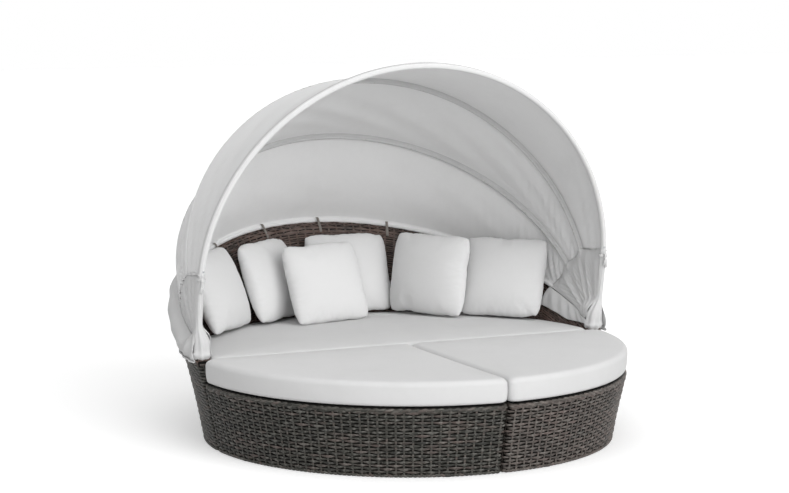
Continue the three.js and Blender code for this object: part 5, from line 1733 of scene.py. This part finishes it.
        half_wide, pinched, round_wrap, wave, crown, tilt = 0.0065, 0.0025, 0.0172, 0.0009, 0.001, 0.002
        knot_out, knot_deep, knot_half, tail_out, tail_arch, tail_curl = (
            0.0195, 0.0062, 0.0105, 0.0225, 0.006, 0.0012)
        across = np.linspace(-1, 1, 5)[None, :]
        turn = np.radians(np.linspace(-176, 176, 44))[:, None]
        pinch = half_wide - pinched * np.exp(-((turn - 0.12) / 0.5) ** 2)
        size = round_wrap + wave * np.sin(4 * turn) + crown * (1 - across ** 2)
        level = self.knot_reach + pinch * across + tilt * np.sin(turn)
        parts = [strip(size * np.sin(turn), level, size * np.cos(turn))]
        loop = np.radians(np.linspace(-170, 170, 22))[:, None]
        knot = knot_out + knot_deep * np.cos(loop)
        place = 0.12 + 0.26 * across + 0.05 * np.sin(3 * loop)
        level = self.knot_reach + knot_half * np.sin(loop) + 0 * across
        parts.append(strip(knot * np.sin(place), level, knot * np.cos(place)))
        for lean, long in ((0.30, 0.050), (-0.24, 0.040)):
            run = np.linspace(0, 1, 18)[:, None]
            swing = 0.12 + lean * run + 0.22 * across * (0.6 + 0.5 * run)
            out = tail_out + tail_arch * np.sin(np.pi * run) + tail_curl * np.cos(9 * run + 4 * across)
            level = self.tail_reach - long * run + 0 * across
            parts.append(strip(out * np.sin(swing), level, out * np.cos(swing)))
        piece = patches.build(f"{word}_tie", cloth, closed=True)
        settle(piece, "bow_front")
        area, long = sum(p[0] for p in parts), sum(p[1] for p in parts)

    def snap(self, metal, flip, word):
        """A domed press stud on the front edge above the knot."""
        profile = np.array([(0, 0.0022), (0.0014, 0.0021), (0.0026, 0.0016), (0.0031, 0.0009),
                            (0.0040, 0.0008), (0.0046, 0.0004), (0.0047, -0.0008), (0, -0.0008)])
        turn = np.linspace(0, 2 * np.pi, 25)[None, :-1]
        side, along = profile[:, :1] * np.cos(turn), self.stud_reach + profile[:, :1] * np.sin(turn)
        half = leg_line("bow_front", self.stud_reach, 0.0)
        face = self.stud_out + profile[:, 1:] + 0 * turn
        patches = Patches()
        patches.add(at_pivot(FRONT_ANGLE, (half + side) * flip, along, face),
                    plain_uv(np.linspace(0, 0.03, 25), profile[:, 0]), close_columns=True)
        settle(patches.build(f"{word}_snap", metal, closed=True), "bow_front")


class DAYBED_OT_straps(bpy.types.Operator):
    """Buckles the webbing straps that hold the rear bow on the rim"""

    bl_idname = "daybed.straps"
    bl_label = "Rim straps"

    half_wide, thickness, over_cloth, off_wall = 0.006, 0.0012, 0.0046, 0.0085
    bend, tail = (0.004, 0.0), ((0.010, 0.0003), (0.017, 0.0))

    def execute(self, context):
        cloth = cloth_finish("strap_web", shade(132, 127, 122), 0.2, 0.05)
        for number, angle in enumerate((70, 88, 104, 122), 1):
            self.strap(cloth, number, math.radians(angle))
        return {"FINISHED"}

    def strap(self, cloth, number, turn):
        """One strap: round the rear bow, then down past the rim's inner edge."""
        rim = under_rim(turn, WALL / 2, 0.0)
        trial = at_crossing(turn)
        rim_r = math.hypot(rim[0], rim[1] - CENTRE_Y)
        drift = math.hypot(trial[0], trial[1] - CENTRE_Y) - rim_r
        rise = trial[2] - rim[2]
        hoop = CLOTH_LIFT + self.over_cloth

        def beside(drop, out):
            p = under_rim(turn, WALL + self.off_wall + out, drop)
            return np.array([math.hypot(p[0], p[1] - CENTRE_Y) - rim_r, p[2] - rim[2]])

        edge = beside(*self.bend)
        away = edge - np.array([drift, rise])
        leave = math.atan2(away[1], away[0]) % (2 * math.pi) - math.acos(hoop / np.linalg.norm(away))
        angles = np.linspace(math.radians(60), leave, 16)
        path = [np.array([drift + hoop * math.cos(a), rise + hoop * math.sin(a)]) for a in angles]
        path += [path[-1] + (edge - path[-1]) * t for t in (0.33, 0.66, 1.0)]
        path += [beside(*place) for place in self.tail]
        path = np.array(path)
        out, side = np.array([math.cos(turn), math.sin(turn)]), np.array([-math.sin(turn), math.cos(turn)])
        across = np.linspace(-self.half_wide, self.half_wide, 7)
        ground = (rim[:2] + out * path[:, :1])[:, None, :] + side * across[None, :, None]
        grid = np.concatenate([ground, np.broadcast_to((rim[2] + path[:, 1])[:, None, None],
                                                       ground.shape[:2] + (1,))], 2)
        centre = np.array([*(rim[:2] + out * drift), rim[2] + rise])
        piece = cloth_piece(f"rim_strap_{number}_web", grid, self.thickness, grid - centre, cloth)
        settle(piece, "sofa", [f"rim_strap_{number}"])
        cut_of(grid)


def at_crossing(turn):
    """Where the rear bow crosses the upright plane at this angle."""
    angle, reach, leg, half, _ = bow_size("bow_rear")
    a = np.linspace(0, np.pi, 2881)
    points = at_pivot(angle, half * np.cos(a), leg + (reach - leg) * np.sin(a), 0.0)
    miss = np.abs(np.arctan2(points[:, 1] - CENTRE_Y, points[:, 0]) - turn)
    return points[miss.argmin()]


# Panel and run

STEPS = (
    DAYBED_OT_stage, DAYBED_OT_weave, DAYBED_OT_frame, DAYBED_OT_cushions,
    DAYBED_OT_pillows, DAYBED_OT_canopy, DAYBED_OT_skirts, DAYBED_OT_straps,
)
SETTINGS = {
    "daybed_weave": DaybedWeave, "daybed_cushions": DaybedCushions,
    "daybed_canopy": DaybedCanopy, "daybed_stage": DaybedStage,
}


class DAYBED_PT_panel(bpy.types.Panel):
    """Lists the daybed's steps and settings"""

    bl_label = "Round Daybed"
    bl_idname = "DAYBED_PT_panel"
    bl_space_type = "VIEW_3D"
    bl_region_type = "UI"
    bl_category = "Daybed"

    def draw(self, context):
        for step in STEPS:
            self.layout.operator(step.bl_idname)
        for name, group in SETTINGS.items():
            box = self.layout.box()
            for key in group.__annotations__:
                box.prop(getattr(context.scene, name), key)


def register():
    for made in (*SETTINGS.values(), *STEPS, DAYBED_PT_panel):
        bpy.utils.register_class(made)
    for name, group in SETTINGS.items():
        setattr(bpy.types.Scene, name, PointerProperty(type=group))


def unregister():
    for name in SETTINGS:
        delattr(bpy.types.Scene, name)
    for made in reversed((*SETTINGS.values(), *STEPS, DAYBED_PT_panel)):
        bpy.utils.unregister_class(made)


def main():
    register()
    for step in STEPS:
        group, call = step.bl_idname.split(".")
        getattr(getattr(bpy.ops, group), call)()


if __name__ == "__main__":
    main()
